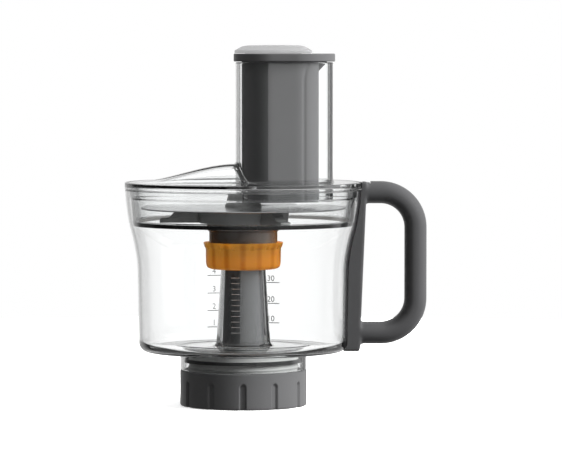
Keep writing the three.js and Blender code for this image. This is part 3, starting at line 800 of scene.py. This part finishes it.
# The gearbox neck. Three short thread ridges climb round it, and again above: the radius
# grows where the height is close to a ridge's own height at that angle.
def makeGearbox():
    radius, inner, foot, low = gearbox["radius"], gearbox["inner"], gearbox["foot"], gearbox["low"]
    boss, bore, bossLow = gearbox["boss"], gearbox["bore"], gearbox["bossLow"]
    top, under, footTop = gearbox["top"], gearbox["top"] - gearbox["roof"], gearbox["footTop"]
    line = withSteps(softOutline([
        (inner, low, 0.3), (foot, low, 0.4), (foot, footTop, 0.4), (radius, footTop, 0.5),
        (radius, top, 0.8), (bore, top, 0.3), (bore, bossLow, 0.3), (boss, bossLow, 0.3),
        (boss, under, 0.4), (inner, under, 0.6),
    ]), 0.5)
    segments = 288
    turn = anglesRound(segments)[:, None] / (2 * np.pi) * gearbox["threads"]
    up = line[:, 1][None] - gearbox["threadLow"] - gearbox["threadClimb"] * (turn % 1)
    lower, upper = [np.exp(-(((up - gap) / gearbox["threadHalf"]) ** 2)) for gap in (0, gearbox["threadGap"])]
    onNeck = (line[:, 0] > radius - 0.4) & (line[:, 1] > footTop + 0.9)
    swell = 1 + gearbox["threadHeight"] * np.clip(lower + upper, 0, 1) * onNeck[None] / radius
    grid = swollen(turnedGrid(line, segments), swell)
    # the gearbox neck takes the hub's tone: dark plastic painted lighter, painted light that makes up for the
    # shade under the bowl
    place(makePiece("gearboxNeck", [(grid, True, True)], materials["hub"]), "base", "dark_plastic",
          "gearbox_housing")


floorPlate = {
    "bore": 8.3, "radius": 46.8, "low": 12.0, "top": 14.7, "rim": 38.0, "rimWidth": 1.6, "rimLow": 11.2,
    "ribs": 8, "ribFrom": 13.5, "ribTo": 37.0, "ribHalf": 0.8, "ribLow": 10.9, "into": 0.4,
}


# The floor plate, with a raised rim and ribs that run out from the bush.
def makeFloorPlate():
    bore, radius, rim = floorPlate["bore"], floorPlate["radius"], floorPlate["rim"]
    low, top, into = floorPlate["low"], floorPlate["top"], floorPlate["low"] + floorPlate["into"]
    plate = turnedGrid(softOutline([
        (bore, low, 0.3), (radius - 0.9, low, 0.5), (radius, low + 1, 0.3), (radius, top, 0.3),
        (bore, top, 0.3),
    ]), 144)
    ring = turnedGrid(softOutline([
        (rim, floorPlate["rimLow"], 0.3), (rim + floorPlate["rimWidth"], floorPlate["rimLow"], 0.3),
        (rim + floorPlate["rimWidth"], into, 0.1), (rim, into, 0.1),
    ]), 144)
    half = floorPlate["ribHalf"]
    ribLoop = roundedBox(floorPlate["ribFrom"], floorPlate["ribTo"], -half, half, 0.4)
    rib = raisedGrid(ribLoop, floorPlate["ribLow"], into, 0.3)
    turns = [360 / floorPlate["ribs"] * i for i in range(floorPlate["ribs"])]
    parts = [(plate, True, True), *[(spun(rib, turn), True, False) for turn in turns], (ring, True, True)]
    place(makePiece("gearboxFloor", parts, materials["gearbox"]), "base", "dark_plastic", "gearbox_floor")


screws = {
    "count": 4, "ring": 44.2, "first": 22.5, "low": 10.0, "crossHalf": 0.3, "crossReach": 1.45,
    "crossDepth": 0.9,
}


# A screw: a domed head under a shank, with a cross recess where the dome is pushed in.
def makeScrews():
    radius = np.array([0, 0.25, 0.5, 0.75, 1.0, 1.25, 1.5, 1.75, 2.0, 2.2, 2.3, 2.3, 1.5, 1.5, 0])
    height = np.array([0] * 7 + [0.03, 0.12, 0.3, 0.6, 1.7, 1.7, 12.6, 13.1]) + screws["low"]
    grid = turnedGrid(np.stack([radius, height], 1), 48)
    x, y, z = grid[..., 0], grid[..., 1], grid[..., 2]
    onArm = np.minimum(np.abs(x), np.abs(y)) < screws["crossHalf"]
    cross = (np.hypot(x, y) < screws["crossReach"]) & (z < screws["low"] + 0.2) & onArm
    screw = np.stack([x + screws["ring"], y, z + screws["crossDepth"] * cross], -1)
    for i in range(screws["count"]):
        turned = spun(screw, screws["first"] + 360 / screws["count"] * i)
        piece = makePiece(f"baseScrew{i + 1}", [(turned, True, False)], materials["steel"])
        place(piece, "base", "steel", f"base_screw_{i + 1}")


coupling = {
    "lobes": 6, "radius": 8.0, "lobe": 2.75, "sharpness": 1.4, "top": 9.4,
    "hub": 8.4, "hubBore": 4.3, "hubLow": 9.0, "hubTop": 11.4,
}


# The drive dog: the radius swells into round lobes, and a hub carries it.
def makeCoupling():
    angle = anglesRound(240)
    wave = np.clip(np.cos(coupling["lobes"] / 2 * angle) ** 2, 0, 1) ** coupling["sharpness"]
    lobe = coupling["radius"] + coupling["lobe"] * wave
    dog = raisedGrid(np.stack([lobe * np.cos(angle), lobe * np.sin(angle)], 1), 0, coupling["top"], 0.7)
    radius, bore, low, top = (coupling[key] for key in ("hub", "hubBore", "hubLow", "hubTop"))
    hubRing = turnedGrid(softOutline([
        (bore, low, 0.1), (radius, low, 0.2), (radius, top, 0.4), (bore, top, 0.3),
    ]), 96)
    parts = [(dog, True, False), (hubRing, True, True)]
    place(makePiece("driveDog", parts, materials["gearbox"]), "input", "dark_plastic", "input_coupling")


makeCollar()
makeGearbox()
makeFloorPlate()
makeScrews()
makeCoupling()
print("base built")


bowl = {
    # the outside from the foot of the wall to the rim, as (radius, height, rounding)
    "outside": (
        (79.6, 43.4, 2.2), (83.7, 47.6, 2.4), (84.8, 114.8, 22), (88, 132.4, 12), (91.7, 146.4, 9),
        (93.6, 159, 9), (94.8, 173.2, 0.7),
    ),
    "wall": 2.4, "skirt": 50.6, "skirtInner": 47.9, "skirtLow": 28.8, "under": 43.4,
    "chimneyTop": 118.0, "chimneyBore": 19.2,
}


# The bowl is one closed outline turned about the axis: skirt, underside, wall, rim, the
# inside at one wall's thickness, the floor with its raised middle, and the chimney.
def makeBowl():
    inside = [(r - bowl["wall"], z, max(radius, 0.6)) for r, z, radius in bowl["outside"][2:]][::-1]
    skirt, skirtInner, low, under = bowl["skirt"], bowl["skirtInner"], bowl["skirtLow"], bowl["under"]
    top, bore = bowl["chimneyTop"], bowl["chimneyBore"]
    piece = turnedPiece("bowl", [
        (skirtInner, low, 0.4), (skirt, low, 0.6), (skirt, under, 0.8), *bowl["outside"], *inside,
        (81.25, 50.4, 3), (78.4, 46.9, 2.6), (53.4, 46.4, 0.4), (52.8, 47.5, 0.4), (51.6, 47.5, 0.4),
        (51.0, 47.2, 0.4), (24, 47.2, 2.0), (21.6, 50, 3), (18, 108.4, 4), (17.4, top, 0.7),
        (15.5, top, 0.6), (15.9, 108.4, 0.5), (bore, 49, 0.5), (bore, under, 0.4), (skirtInner, under, 0.5),
    ], materials["clear"], segments=256)
    place(piece, "base", "clear_plastic", "bowl")


# The scale on the far wall: short marks and numbers for cups on one side and fluid
# ounces on the other, with a fine ladder of clear ridges between them on the near wall.
# Flat shapes at x, z are wrapped on the wall: the angle is x over the radius.
scale = {
    "cups": {
        "heights": (56.7, 70.2, 84.6, 99.2), "labels": "1234", "from": -31.6, "to": -14.0, "textX": -27.4,
    },
    "ounces": {
        "heights": (60.0, 76.0, 93.2), "labels": ("10", "20", "30"), "from": 15.5, "to": 30.2, "textX": 19.2,
    },
    "markHeight": 0.62, "raise": 0.22, "textSize": 6.6, "textAbove": 1.3,
    "ladder": {
        "from": -8.8, "to": -1.6, "low": 64.0, "high": 111.0, "pitch": 4.3, "height": 0.5, "raise": 0.07,
    },
}


def wallRadius(z):
    (lowRadius, low, _), (highRadius, high, _) = bowl["outside"][1:3]
    return np.interp(z, [low, high], [lowRadius, highRadius])


def wrapOnWall(flat, raiseBy, near=False):
    x, z = flat[:, 0], flat[:, 1]
    radius = wallRadius(z) + raiseBy
    angle = -math.pi / 2 + x / radius if near else math.pi / 2 - x / radius
    return np.stack([radius * np.cos(angle), radius * np.sin(angle), z], -1)


# A mark is a low bar on the wall: four edges carried along x, closed at both ends.
def wallBar(start, end, z, tall, raiseBy, near=False):
    x = np.linspace(start, end, 9)
    edges = ((-tall / 2, 0.02), (-tall / 2, raiseBy), (tall / 2, raiseBy), (tall / 2, 0.02))
    lines = [wrapOnWall(np.stack([x, np.full(len(x), z + up)], 1), out, near) for up, out in edges]
    return withEnds(np.stack(lines, 1)), False, True


def makeScale():
    bars = [wallBar(scale[key]["from"], scale[key]["to"], z, scale["markHeight"], scale["raise"])
            for key in ("cups", "ounces") for z in scale[key]["heights"]]
    place(makePiece("scaleMarks", bars, materials["print"]), "base", "clear_plastic")
    ladder = scale["ladder"]
    rungs = [wallBar(ladder["from"], ladder["to"], z, ladder["height"], ladder["raise"], True)
             for z in np.arange(ladder["low"], ladder["high"], ladder["pitch"])]
    place(makePiece("scaleLadder", rungs, materials["clear"]), "base", "clear_plastic")
    for key in ("cups", "ounces"):
        side = scale[key]
        for label, z in zip(side["labels"], side["heights"]):
            name = f"scaleNumber{key.capitalize()}{label}"
            makeNumber(name, label, side["textX"], z + scale["textAbove"])


# A number is laid out flat at x, z and then wrapped on the wall, half sunk into it.
def makeNumber(name, label, x, z):
    text = bpy.data.curves.new(name, "FONT")
    text.body = label
    text.size = scale["textSize"]
    text.extrude = scale["raise"] / 2
    holder = bpy.data.objects.new(name, text)
    bpy.context.scene.collection.objects.link(holder)
    mesh = madeMesh(holder)
    bpy.data.objects.remove(holder)
    flat = np.empty(len(mesh.vertices) * 3, np.float32)
    mesh.vertices.foreach_get("co", flat)
    flat = flat.reshape(-1, 3).astype(float)
    height = scale["raise"] / 2 + 0.01 - flat[:, 2]
    wrapped = wrapOnWall(np.stack([flat[:, 0] + x, flat[:, 1] + z], 1), height)
    mesh.vertices.foreach_set("co", (wrapped * mm).astype(np.float32).ravel())
    mesh.update()
    mesh.materials.clear()
    mesh.materials.append(materials["print"])
    piece = bpy.data.objects.new(name, mesh)
    bpy.context.scene.collection.objects.link(piece)
    place(piece, "base", "clear_plastic")


makeBowl()
makeScale()
print("bowl built")


handle = {
    "armTop": 170.8, "armLow": 58.0, "reach": 138.0, "corner": 28.0, "thick": 17.8, "wide": 23.0,
    "play": 0.35,  # between the spine and the bowl
}


# The grip's centre line: two straight arms, two quarter circles and an upright, with
# points at an even spacing.
def gripPath():
    corner, reach = handle["corner"], handle["reach"]
    top, low = handle["armTop"], handle["armLow"]
    turn = np.linspace(0, np.pi / 2, 24)
    upper = np.stack([reach - corner + corner * np.sin(turn), top - corner + corner * np.cos(turn)], 1)
    lower = np.stack([reach - corner + corner * np.cos(turn), low + corner - corner * np.sin(turn)], 1)
    line = np.vstack([[[92.5, top]], upper, lower, [[90.5, low]]])
    return withSteps(line, 1.5, closed=False)


# The spine and the grip are joined and remeshed as one moulding with soft inner corners.
# Then the room for the bowl, the brim and the lid's tab is cut out.
def makeHandle():
    half = handle["wide"] / 2
    grip = withEnds(sweptGrid(gripPath(), superEllipse(handle["thick"] / 2, half, 0.86)))
    side = withSteps(softOutline([
        (76, 43.6, 0.4), (93.2, 43.6, 1.2), (93.9, 48.6, 1), (94.2, 66.9, 2), (98.2, 161.9, 2),
        (99, 179.7, 1.2), (86, 179.7, 0.4),
    ]), 3.0)
    spine = raisedGrid(side, -half, half, 1.6, axis="y")
    body = makePiece("handle", [(grip, False, True), (spine, True, False)])
    remesh = body.modifiers.new("remesh", "REMESH")
    remesh.mode = "VOXEL"
    remesh.voxel_size = 0.8 * mm
    smooth = body.modifiers.new("soften", "SMOOTH")
    smooth.factor = 0.5
    smooth.iterations = 10
    applyModifiers(body)
    wall = [(r + handle["play"], z, radius) for r, z, radius in bowl["outside"][2:6]]
    envelope = turnedGrid(softOutline([
        (0, 40, 0), (79.9, 40, 0.2), (79.9, 43.2, 3.6), (84.05, 47.5, 3.8), *wall, (95.5, 173.0, 0.5),
        (95.7, 186, 0), (0, 186, 0),
    ]), 256)
    bowlRoom = makePiece("handleRoom", [(envelope, True, False)])
    tabLoop = roundedBox(80, 101.9, -7.7, 30, 1.0)
    tabRoom = makePiece("tabRoom", [(raisedGrid(tabLoop, 173.2, 190, 0.4), True, False)])
    cutOut(body, (bowlRoom, tabRoom), materials["grip"], 38)
    place(body, "base", "dark_plastic", "handle")


makeHandle()
print("handle built")


tube = {"centre": 32.9, "reach": 9.1, "radius": 30.0, "wall": 2.2, "low": 166.0, "top": 274.7}
lid = {
    "brim": 95.0, "brimLow": 173.6, "brimTop": 178.8, "plate": 2.4, "inner": 84.0, "join": 50.0,
    "skirtLow": 148.1, "rise": 14.6, "tab": 101.3, "tabHalf": 7.0,
}
# a round room over the hub's knob, which the tube and the pushers stay above
knobRoom = {"radius": 16.4, "top": 172.8}


# Points where rays from the tube's centre meet the tube's outline, taken out by an offset,
# and a circle about the drive axis.
def rayOutlines(angle, offset, circle):
    c, s = np.cos(angle)[:, None], np.sin(angle)[:, None]
    radius = tube["radius"] + offset
    onSide = np.abs(c) * radius <= tube["reach"] * np.abs(s)
    along = np.where(
        onSide,
        radius / np.maximum(np.abs(s), 1e-9),
        tube["reach"] * np.abs(c) + np.sqrt(np.maximum(radius**2 - (tube["reach"] * s) ** 2, 0)),
    )
    centre = tube["centre"]
    out = -centre * c + np.sqrt(centre**2 * (c**2 - 1) + circle**2)
    return [np.stack([centre + far * c, far * s], -1) for far in (along, out)]


# How far the lid's top rises: a hill from the left edge to the tube, which fades in front,
# behind and towards the handle.
def lidRise(x, y):
    climb = np.where(x < -6, easeStep(1 - (-6 - x) / 84), 1 - easeStep((x + 6) / 24))
    return lid["rise"] * climb * (1 - easeStep((np.abs(y) - 8) / 18))


# The lid's outline runs outwards from the tube's wall in a coordinate s: the tube's own
# outline up to 2 mm out, then a ruled sheet to the circle inside the brim, then circles.
# It is closed: tube wall, top, brim, skirt, underside, and the tube below the plate.
def makeLid():
    join, top, low = lid["join"], lid["brimTop"], lid["brimLow"]
    under, skirtLow, wall = top - lid["plate"], lid["skirtLow"], tube["wall"]
    back = lid["inner"] - join - 2
    line = withSteps(softOutline([
        (-wall, tube["low"], 0.6), (-wall, tube["top"], 0.9), (0, tube["top"], 0.9), (0, top, 2.4),
        (91.6 - back, top, 0.5), (92.0 - back, top - 0.5, 0.4), (93.6 - back, top - 0.5, 0.3),
        (93.9 - back, top, 0.3), (lid["brim"] - back, top, 0.5), (lid["brim"] - back, low, 0.7),
        (91.4 - back, low, 0.4), (91.0 - back, 167.2, 0.5), (90.0 - back, 166.2, 0.6),
        (88.4 - back, skirtLow, 0.7), (85.8 - back, skirtLow, 0.7), (87.8 - back, 166, 4),
        (88.2 - back, under, 1.6), (0, under, 1.4), (0, tube["low"], 0.6),
    ]), 2.4)
    s, z = line[:, 0][None], line[:, 1][None]
    circle = lid["inner"] + np.maximum(s - 2 - join, 0)
    stadium, rim = rayOutlines(anglesRound(320), np.minimum(s, 2), circle)
    share = np.clip((s - 2) / join, 0, 1)[..., None]
    flat = stadium * (1 - share) + rim * share
    x, y = flat[..., 0], flat[..., 1]
    # the locking tab stands out of the brim towards the handle
    onBrim = (circle > lid["brim"] - 1.5) & (z > low - 1.6)
    tabMask = easeStep((lid["tabHalf"] + 0.6 - np.abs(y)) / 1.2) * (x > 0) * onBrim
    grow = 1 + tabMask * (lid["tab"] - lid["brim"]) / np.hypot(x, y)
    x, y = x * grow, y * grow
    # the plate rises whole, and the tube's foot fades out of the rise over 40 mm
    nearPlate = np.clip(1 - np.abs(z - top) / 40, 0, 1) * (s > -0.4)
    onPlate = np.where(s > 1.5, np.where(circle > lid["inner"] + 2, 0, 1), nearPlate)
    height = z + lidRise(x, y) * onPlate
    lowered = (np.hypot(x, y) < knobRoom["radius"]) & (height < knobRoom["top"])
    height = np.where(lowered, knobRoom["top"], height)
    piece = makePiece("lidWithFeedTube", [(np.stack([x, y, height], -1), True, True)], materials["clear"])
    place(piece, "cover", "clear_plastic", "lid", "feed_tube")


seal = {"inner": 84.8, "radius": 88.0, "flare": 0.5, "low": 144.6, "top": 147.8}


def makeSeal():
    inner, radius, low, top = seal["inner"], seal["radius"], seal["low"], seal["top"]
    piece = turnedPiece("lidSeal", [
        (inner, low, 0.6), (radius, low, 0.8), (radius + seal["flare"], top, 0.8), (inner, top, 0.6),
    ], materials["smoke"], segments=256)
    place(piece, "seal", "smoke_plastic", "lid_seal")


makeLid()
makeSeal()
print("lid built")


pusher = {
    "low": 165.0, "flangeLow": 275.3, "flangeTop": 281.7, "overhang": 1.5, "roof": 2.6, "flat": 59.8,
    "wall": 2.2, "play": 2.8, "sleeve": 2.0, "grooveX": 48.6, "grooveDepth": 0.9, "wedges": (-6.5, 5.0),
    "wedgeThick": 1.6,
}
innerPusher = {
    "centre": 24.0, "reach": 4.0, "radius": 19.0, "play": 0.5, "wall": 2.0, "floor": 2.4, "lip": 4.0,
}


# The large pusher: its outline runs outwards from the sleeve to the outer wall. The
# coordinate s is the distance from the sleeve's outside up to 0, then a share of the way
# to the outer wall's inside at 10, then the distance outside that.
def makeLargePusher():
    low, top, under = pusher["low"], pusher["flangeTop"], pusher["flangeLow"]
    wall, sleeve, roof = pusher["wall"], pusher["sleeve"], top - pusher["roof"]
    outerInside = -(tube["wall"] + pusher["play"] + wall)
    flange = 10 + pusher["overhang"] - outerInside
    line = withSteps(softOutline([
        (-sleeve, low, 0.5), (-sleeve, top, 0.6), (flange, top, 1.1), (flange, under, 0.9),
        (10 + wall, under, 0.6), (10 + wall, low, 0.6), (10, low, 0.5), (10, roof, 0.8), (0, roof, 0.8),
        (0, low, 0.5),
    ]), 3.0)
    s, z = line[:, 0][None, :, None], line[:, 1][None]
    middleOut, normalOut = stadiumFrame(tube["centre"], tube["reach"], 72, 14)
    middleIn, normalIn = stadiumFrame(innerPusher["centre"], innerPusher["reach"], 72, 14)
    outer = middleOut[:, None] + normalOut[:, None] * (tube["radius"] + outerInside + np.maximum(s - 10, 0))
    inner = middleIn[:, None] + normalIn[:, None] * (innerPusher["radius"] + sleeve + np.minimum(s, 0))
    share = np.clip(s / 10, 0, 1)
    flat = inner * (1 - share) + outer * share
    x, y, s = flat[..., 0], flat[..., 1], s[..., 0]
    z = np.broadcast_to(z, x.shape)
    # the outer wall is flat towards the guide channel, and a groove runs down beside it
    onWall = (z < under - 0.05) & (s > 9.9)
    limit = pusher["flat"] - np.where(s < 11, wall, 0)
    x = np.where(onWall, np.minimum(x, limit), x)
    bend = pusher["grooveX"] + 3.4 * np.clip((z - 260) / 15, 0, 1) ** 2
    groove = pusher["grooveDepth"] * np.exp(-(((x - bend) / 0.85) ** 2)) * onWall * (s > 11)
    y = y - np.sign(y) * groove
    lowered = (np.hypot(x, y) < knobRoom["radius"]) & (z < knobRoom["top"])
    z = np.where(lowered, knobRoom["top"], z)
    parts = [(np.stack([x, y, z], -1), True, True)]
    # two wedges under the flange on the flat side
    flatX = pusher["flat"]
    wedge = withSteps(softOutline([
        (flatX - 1.6, 267.2, 0.2), (flatX, 267.2, 0.4), (flatX + 7.6, under + 0.3, 0.4),
        (flatX - 1.6, under + 0.3, 0.2),
    ]), 2.0)
    for start in pusher["wedges"]:
        parts.append((raisedGrid(wedge, start, start + pusher["wedgeThick"], 0.3, axis="y"), True, False))
    place(makePiece("largePusher", parts, materials["dark"]), "pusher", "dark_plastic", "large_pusher")


# The small pusher: a cup carried round its stadium, closed along the middle line below.
def makeSmallPusher():
    foot, low = knobRoom["top"] + 0.2, pusher["flangeTop"] + 0.3
    outside = innerPusher["radius"] - innerPusher["play"]
    inside, lip = outside - innerPusher["wall"], innerPusher["radius"] + innerPusher["lip"]
    floor = foot + innerPusher["floor"]
    line = withSteps(softOutline([
        (0, foot, 0), (outside, foot, 1.6), (outside, low, 0.4), (lip, low, 0.5), (lip, low + 1.4, 0.4),
        (inside, low + 1.4, 0.5), (inside, floor, 1.2), (0, floor, 0),
    ]), 4.0, closed=False)
    grid = stadiumGrid(line, innerPusher["centre"], innerPusher["reach"])
    place(makePiece("smallPusher", [(grid, True, False)], materials["frosted"]), "inner_pusher",
          "frosted_plastic", "small_pusher")


cap = {"under": 4.4, "band": 8.0, "bandTop": 2.3, "step": 2.6, "domeFoot": 5.6, "top": 6.5, "hollow": 3.4}


# The dome cap: a band at the foot, a step, and a top that is nearly flat.
def makeCap():
    low, radius = pusher["flangeTop"] + 0.3, innerPusher["radius"]
    under, band, hollow = radius + cap["under"], radius + cap["band"], low + cap["hollow"]
    line = withSteps(softOutline([
        (0, hollow, 0), (under, hollow, 0.6), (under, low, 0.3), (band, low, 0.5),
        (band, low + cap["bandTop"], 0.7), (band - 0.9, low + cap["step"], 0.3),
        (radius + 2.2, low + cap["domeFoot"], 2.6), (radius - 3, low + cap["top"] - 0.2, 4),
        (0, low + cap["top"], 0),
    ]), 3.0, closed=False)
    grid = stadiumGrid(line, innerPusher["centre"], innerPusher["reach"])
    place(makePiece("pusherCap", [(grid, True, False)], materials["frosted"]), "inner_pusher",
          "frosted_plastic", "pusher_cap")


makeLargePusher()
makeSmallPusher()
makeCap()
print("pushers built")


shaft = {
    "low": 35.7, "foot": 14.0, "wide": 17.0, "top": 120.0, "bore": 4.8, "roof": 10.0,
    "bushIn": 14.6, "bushOut": 15.2, "bushLow": 113.5, "bushTop": 117.8,
}


# The shaft is a hollow cone with a foot. A bush in the chimney's top holds it.
def makeShaft():
    low, foot, wide, top = shaft["low"], shaft["foot"], shaft["wide"], shaft["top"]
    bore, under = shaft["bore"], shaft["top"] - shaft["roof"]
    place(turnedPiece("driveShaft", [
        (5, low, 0.3), (foot, low, 0.4), (foot, 43.2, 0.5), (wide, 46.6, 1), (14.6, 108.4, 4),
        (14.2, top - 3, 1.5), (11, top, 1.0), (bore, top, 0.3), (bore, under, 0.3), (12, under, 1),
        (14.4, 49, 1), (11.4, 45, 0.5), (5, 45, 0.3),
    ], materials["dark"], segments=144), "drive", "dark_plastic", "drive_shaft")
    inner, outer, bushLow, bushTop = (shaft[key] for key in ("bushIn", "bushOut", "bushLow", "bushTop"))
    place(turnedPiece("chimneyBush", [
        (inner, bushLow, 0.1), (outer, bushLow, 0.1), (outer, bushTop, 0.1), (inner, bushTop, 0.1),
    ], materials["bronze"], segments=96), "base", "bronze", "chimney_bush")


adaptor = {
    "low": 109.4, "side": 30.0, "lip": 32.0, "lipTop": 131.0, "bore": 18.6, "web": 120.4, "webTop": 122.6,
    "notches": 14, "notchHeight": 127.2, "notchHalf": 1.5, "notchDepth": 1.1,
    "ribs": 42, "ribDepth": 0.22,
    "sleeve": 26.8, "sleeveWall": 0.5, "flare": 28.7, "sleeveLow": 123.4, "sleeveTop": 141.2,
}


# The amber adaptor: a turned cup. Shallow ribs run up its inside, and notches are pressed
# into the outside under the lip, where the radius drops.
def makeAdaptor():
    side, lip, bore, low = adaptor["side"], adaptor["lip"], adaptor["bore"], adaptor["low"]
    web, webTop, lipTop = adaptor["web"], adaptor["webTop"], adaptor["lipTop"]
    line = withSteps(softOutline([
        (bore, low, 0.4), (26, low, 3), (29.3, low + 1.5, 2.4), (side, low + 5, 2.4),
        (side + 0.2, 126.2, 1.0), (lip - 0.8, 127.6, 0.7), (lip, lipTop, 0.5), (lip - 2.4, lipTop, 0.5),
        (27.6, 127.4, 0.8), (27.6, webTop, 0.8), (5, webTop, 0.3), (5, web, 0.3), (27.4, web, 0.8),
        (27.2, 114, 1.6), (25.6, low + 2.6, 1.2), (bore, low + 2.6, 0.4),
    ]), 0.8)
    segments = 360
    angle = anglesRound(segments)[:, None]
    radius, height = line[:, 0][None], line[:, 1][None]
    outside = radius > side - 0.8
    pitch = 2 * np.pi / adaptor["notches"]
    across = easeStep((adaptor["notchHalf"] - np.abs(((angle + pitch / 2) % pitch) - pitch / 2) * side) / 0.5)
    upright = easeStep((adaptor["notchHalf"] + 0.2 - np.abs(height - adaptor["notchHeight"])) / 0.6)
    notch = across * upright * adaptor["notchDepth"] * outside
    onRibs = (height > 114) & (height < web - 0.1) & ~outside & (radius > 24)
    rib = adaptor["ribDepth"] * (0.5 + 0.5 * np.cos(adaptor["ribs"] * angle)) * onRibs
    grid = swollen(turnedGrid(line, segments), 1 - (notch + rib) / side)
    place(makePiece("driveAdaptor", [(grid, True, True)], materials["amber"]), "drive", "amber_plastic",
          "drive_adaptor")
    # its thin upper sleeve, close round the hub's neck, which opens at the top
    sleeve, flare, top = adaptor["sleeve"], adaptor["flare"], adaptor["sleeveTop"]
    outer, foot = sleeve + adaptor["sleeveWall"], adaptor["sleeveLow"]
    place(turnedPiece("adaptorSleeve", [
        (sleeve, foot, 0.1), (outer, foot, 0.1), (outer, top - 1.6, 0.6), (flare, top - 0.6, 0.2),
        (flare, top, 0.1), (sleeve, top, 0.1),
    ], materials["film"]), "drive", "amber_plastic")


hub = {
    "bore": 5.0, "neck": 26.6, "neckLow": 122.9, "neckTop": 141.4, "collar": 29.0, "head": 37.0,
    "headLow": 145.6, "headTop": 157.0, "knob": 14.6, "knobTop": 171.4, "flutes": 12, "fluteDepth": 0.45,
    "arms": 3, "firstArm": 180.0, "armReach": 67.0, "armHalf": 4.5,
}


# The hub: a turned neck, head and knob, with arms that reach out under the plate and
# shallow finger flutes round the knob.
def makeHub():
    bore, neck, shoulder, head, knob = (hub[key] for key in ("bore", "neck", "collar", "head", "knob"))
    low, neckTop, headLow, headTop = (hub[key] for key in ("neckLow", "neckTop", "headLow", "headTop"))
    line = withSteps(softOutline([
        (bore, low, 0.3), (neck, low, 0.8), (neck, neckTop, 0.6), (shoulder, neckTop, 0.6),
        (shoulder, headLow, 0.8), (head - 1.2, headLow, 1.0), (head, headTop, 0.8), (knob, headTop, 0.4),
        (knob, headTop + 3.4, 0.8), (knob - 2.8, hub["knobTop"] - 0.8, 1.6), (bore, hub["knobTop"], 0.6),
    ]), 1.5)
    angle = anglesRound(216)[:, None]
    onKnob = easeStep((line[:, 1][None] - headTop - 4) / 1.5) * (line[:, 0][None] > 10)
    flute = hub["fluteDepth"] * (0.5 - 0.5 * np.cos(hub["flutes"] * angle)) * onKnob
    parts = [(swollen(turnedGrid(line, 216), 1 - flute / knob), True, True)]
    armLow, reach, half = headLow + 0.2, hub["armReach"], hub["armHalf"]
    arm = raisedGrid(withSteps(softOutline([
        (30, armLow, 0.3), (reach, armLow, 0.6), (reach, armLow + 3.2, 0.8), (reach - 7, armLow + 3.4, 1.2),
        (reach - 14, headTop, 1.2), (30, headTop, 0.3),
    ]), 2.0), -half, half, 0.7, axis="y")
    for i in range(hub["arms"]):
        parts.append((spun(arm, hub["firstArm"] + 360 / hub["arms"] * i), True, False))
    piece = makePiece("discHub", parts, materials["hub"])
    # the neck below the collar gets the neck tone, darker than the head's; both are the dark plastic painted
    # lighter, painted light that makes up for the shade under the disc and in the amber sleeve
    piece.data.materials.append(materials["neck"])
    centres = np.empty(len(piece.data.polygons) * 3, np.float32)
    piece.data.polygons.foreach_get("center", centres)
    onNeck = centres.reshape(-1, 3)[:, 2] < (neckTop - 0.1) * mm
    piece.data.polygons.foreach_set("material_index", onNeck.astype(np.int32))
    place(piece, "drive", "dark_plastic", "disc_hub")


disc = {
    "radius": 82.0, "low": 157.4, "top": 158.6, "edge": 0.3, "bore": 14.9,
    "mouthBack": 9.0, "mouthFront": 7.0, "bladeFrom": 22.0, "bladeTo": 76.0, "bladeAngle": 62.0,
}


# The plate: a turned ring with a rolled edge. The slicing mouth is cut through it with
# rounded corners.
def makeDisc():
    radius, bore, low, top, edge = (disc[key] for key in ("radius", "bore", "low", "top", "edge"))
    line = withSteps(softOutline([
        (bore, low, 0.2), (radius - 0.8, low, 0.3), (radius, low + edge, 0.2), (radius, top - edge, 0.2),
        (radius - 0.8, top, 0.3), (bore, top, 0.2),
    ]), 2.0)
    plate = makePiece("slicingDisc", [(turnedGrid(line, 288), True, True)])
    start, end = disc["bladeFrom"], disc["bladeTo"]
    mouthLoop = roundedBox(start, end, -disc["mouthBack"], disc["mouthFront"], 3.0, 4.0)
    block = spun(raisedGrid(mouthLoop, 150, 166, 0.2), disc["bladeAngle"])
    cutOut(plate, (makePiece("mouth", [(block, True, False)]),), materials["steel"], 30)
    place(plate, "drive", "steel", "slicing_disc")


# The blade: a strip whose section rises from the plate to the cutting edge, carried along
# the mouth, with its ends drawn in.
def makeBlade():
    top = disc["top"]
    section = withSteps(softOutline([
        (-12, top + 0.3, 0.1), (-4, top + 2.2, 0.8), (7, top + 3.6, 0.4), (8.6, top + 3.3, 0.05),
        (-3, top + 1.0, 0.8), (-11, top + 0.32, 0.1),
    ]), 1.0)
    x = np.linspace(disc["bladeFrom"], disc["bladeTo"], 40)
    fromEnd = np.clip(np.minimum(x - x[0], x[-1] - x) / 3.0, 0, 1)
    width = (0.72 + 0.28 * np.sqrt(fromEnd))[:, None]
    y = section[:, 0][None] * width
    z = np.broadcast_to(section[:, 1][None], y.shape)
    strip = withEnds(np.stack([np.broadcast_to(x[:, None], y.shape), y, z], -1))
    piece = makePiece("slicingBlade", [(spun(strip, disc["bladeAngle"]), False, True)], materials["steel"])
    place(piece, "drive", "steel", "slicing_blade")


makeShaft()
makeAdaptor()
makeHub()
makeDisc()
makeBlade()
print("drive built")


# The CAD nodes that stay, with the finish that each one gets.
carried = {
    "ring_gear": "gears", "sun_gear": "steel", "planet_gear_1": "gears", "planet_gear_2": "gears",
    "planet_gear_3": "gears", "planet_pin_1": "steel", "planet_pin_2": "steel", "planet_pin_3": "steel",
    "planet_carrier": "gearbox", "input_spindle": "steel", "input_bush": "bronze", "spindle_circlip": "steel",
    "output_bush": "bronze", "shaft_seal": "rubber", "output_spindle": "steel", "bowl_gasket": "rubber",
}
for node, key in carried.items():
    nodes[node].data.materials.clear()
    nodes[node].data.materials.append(materials[key])
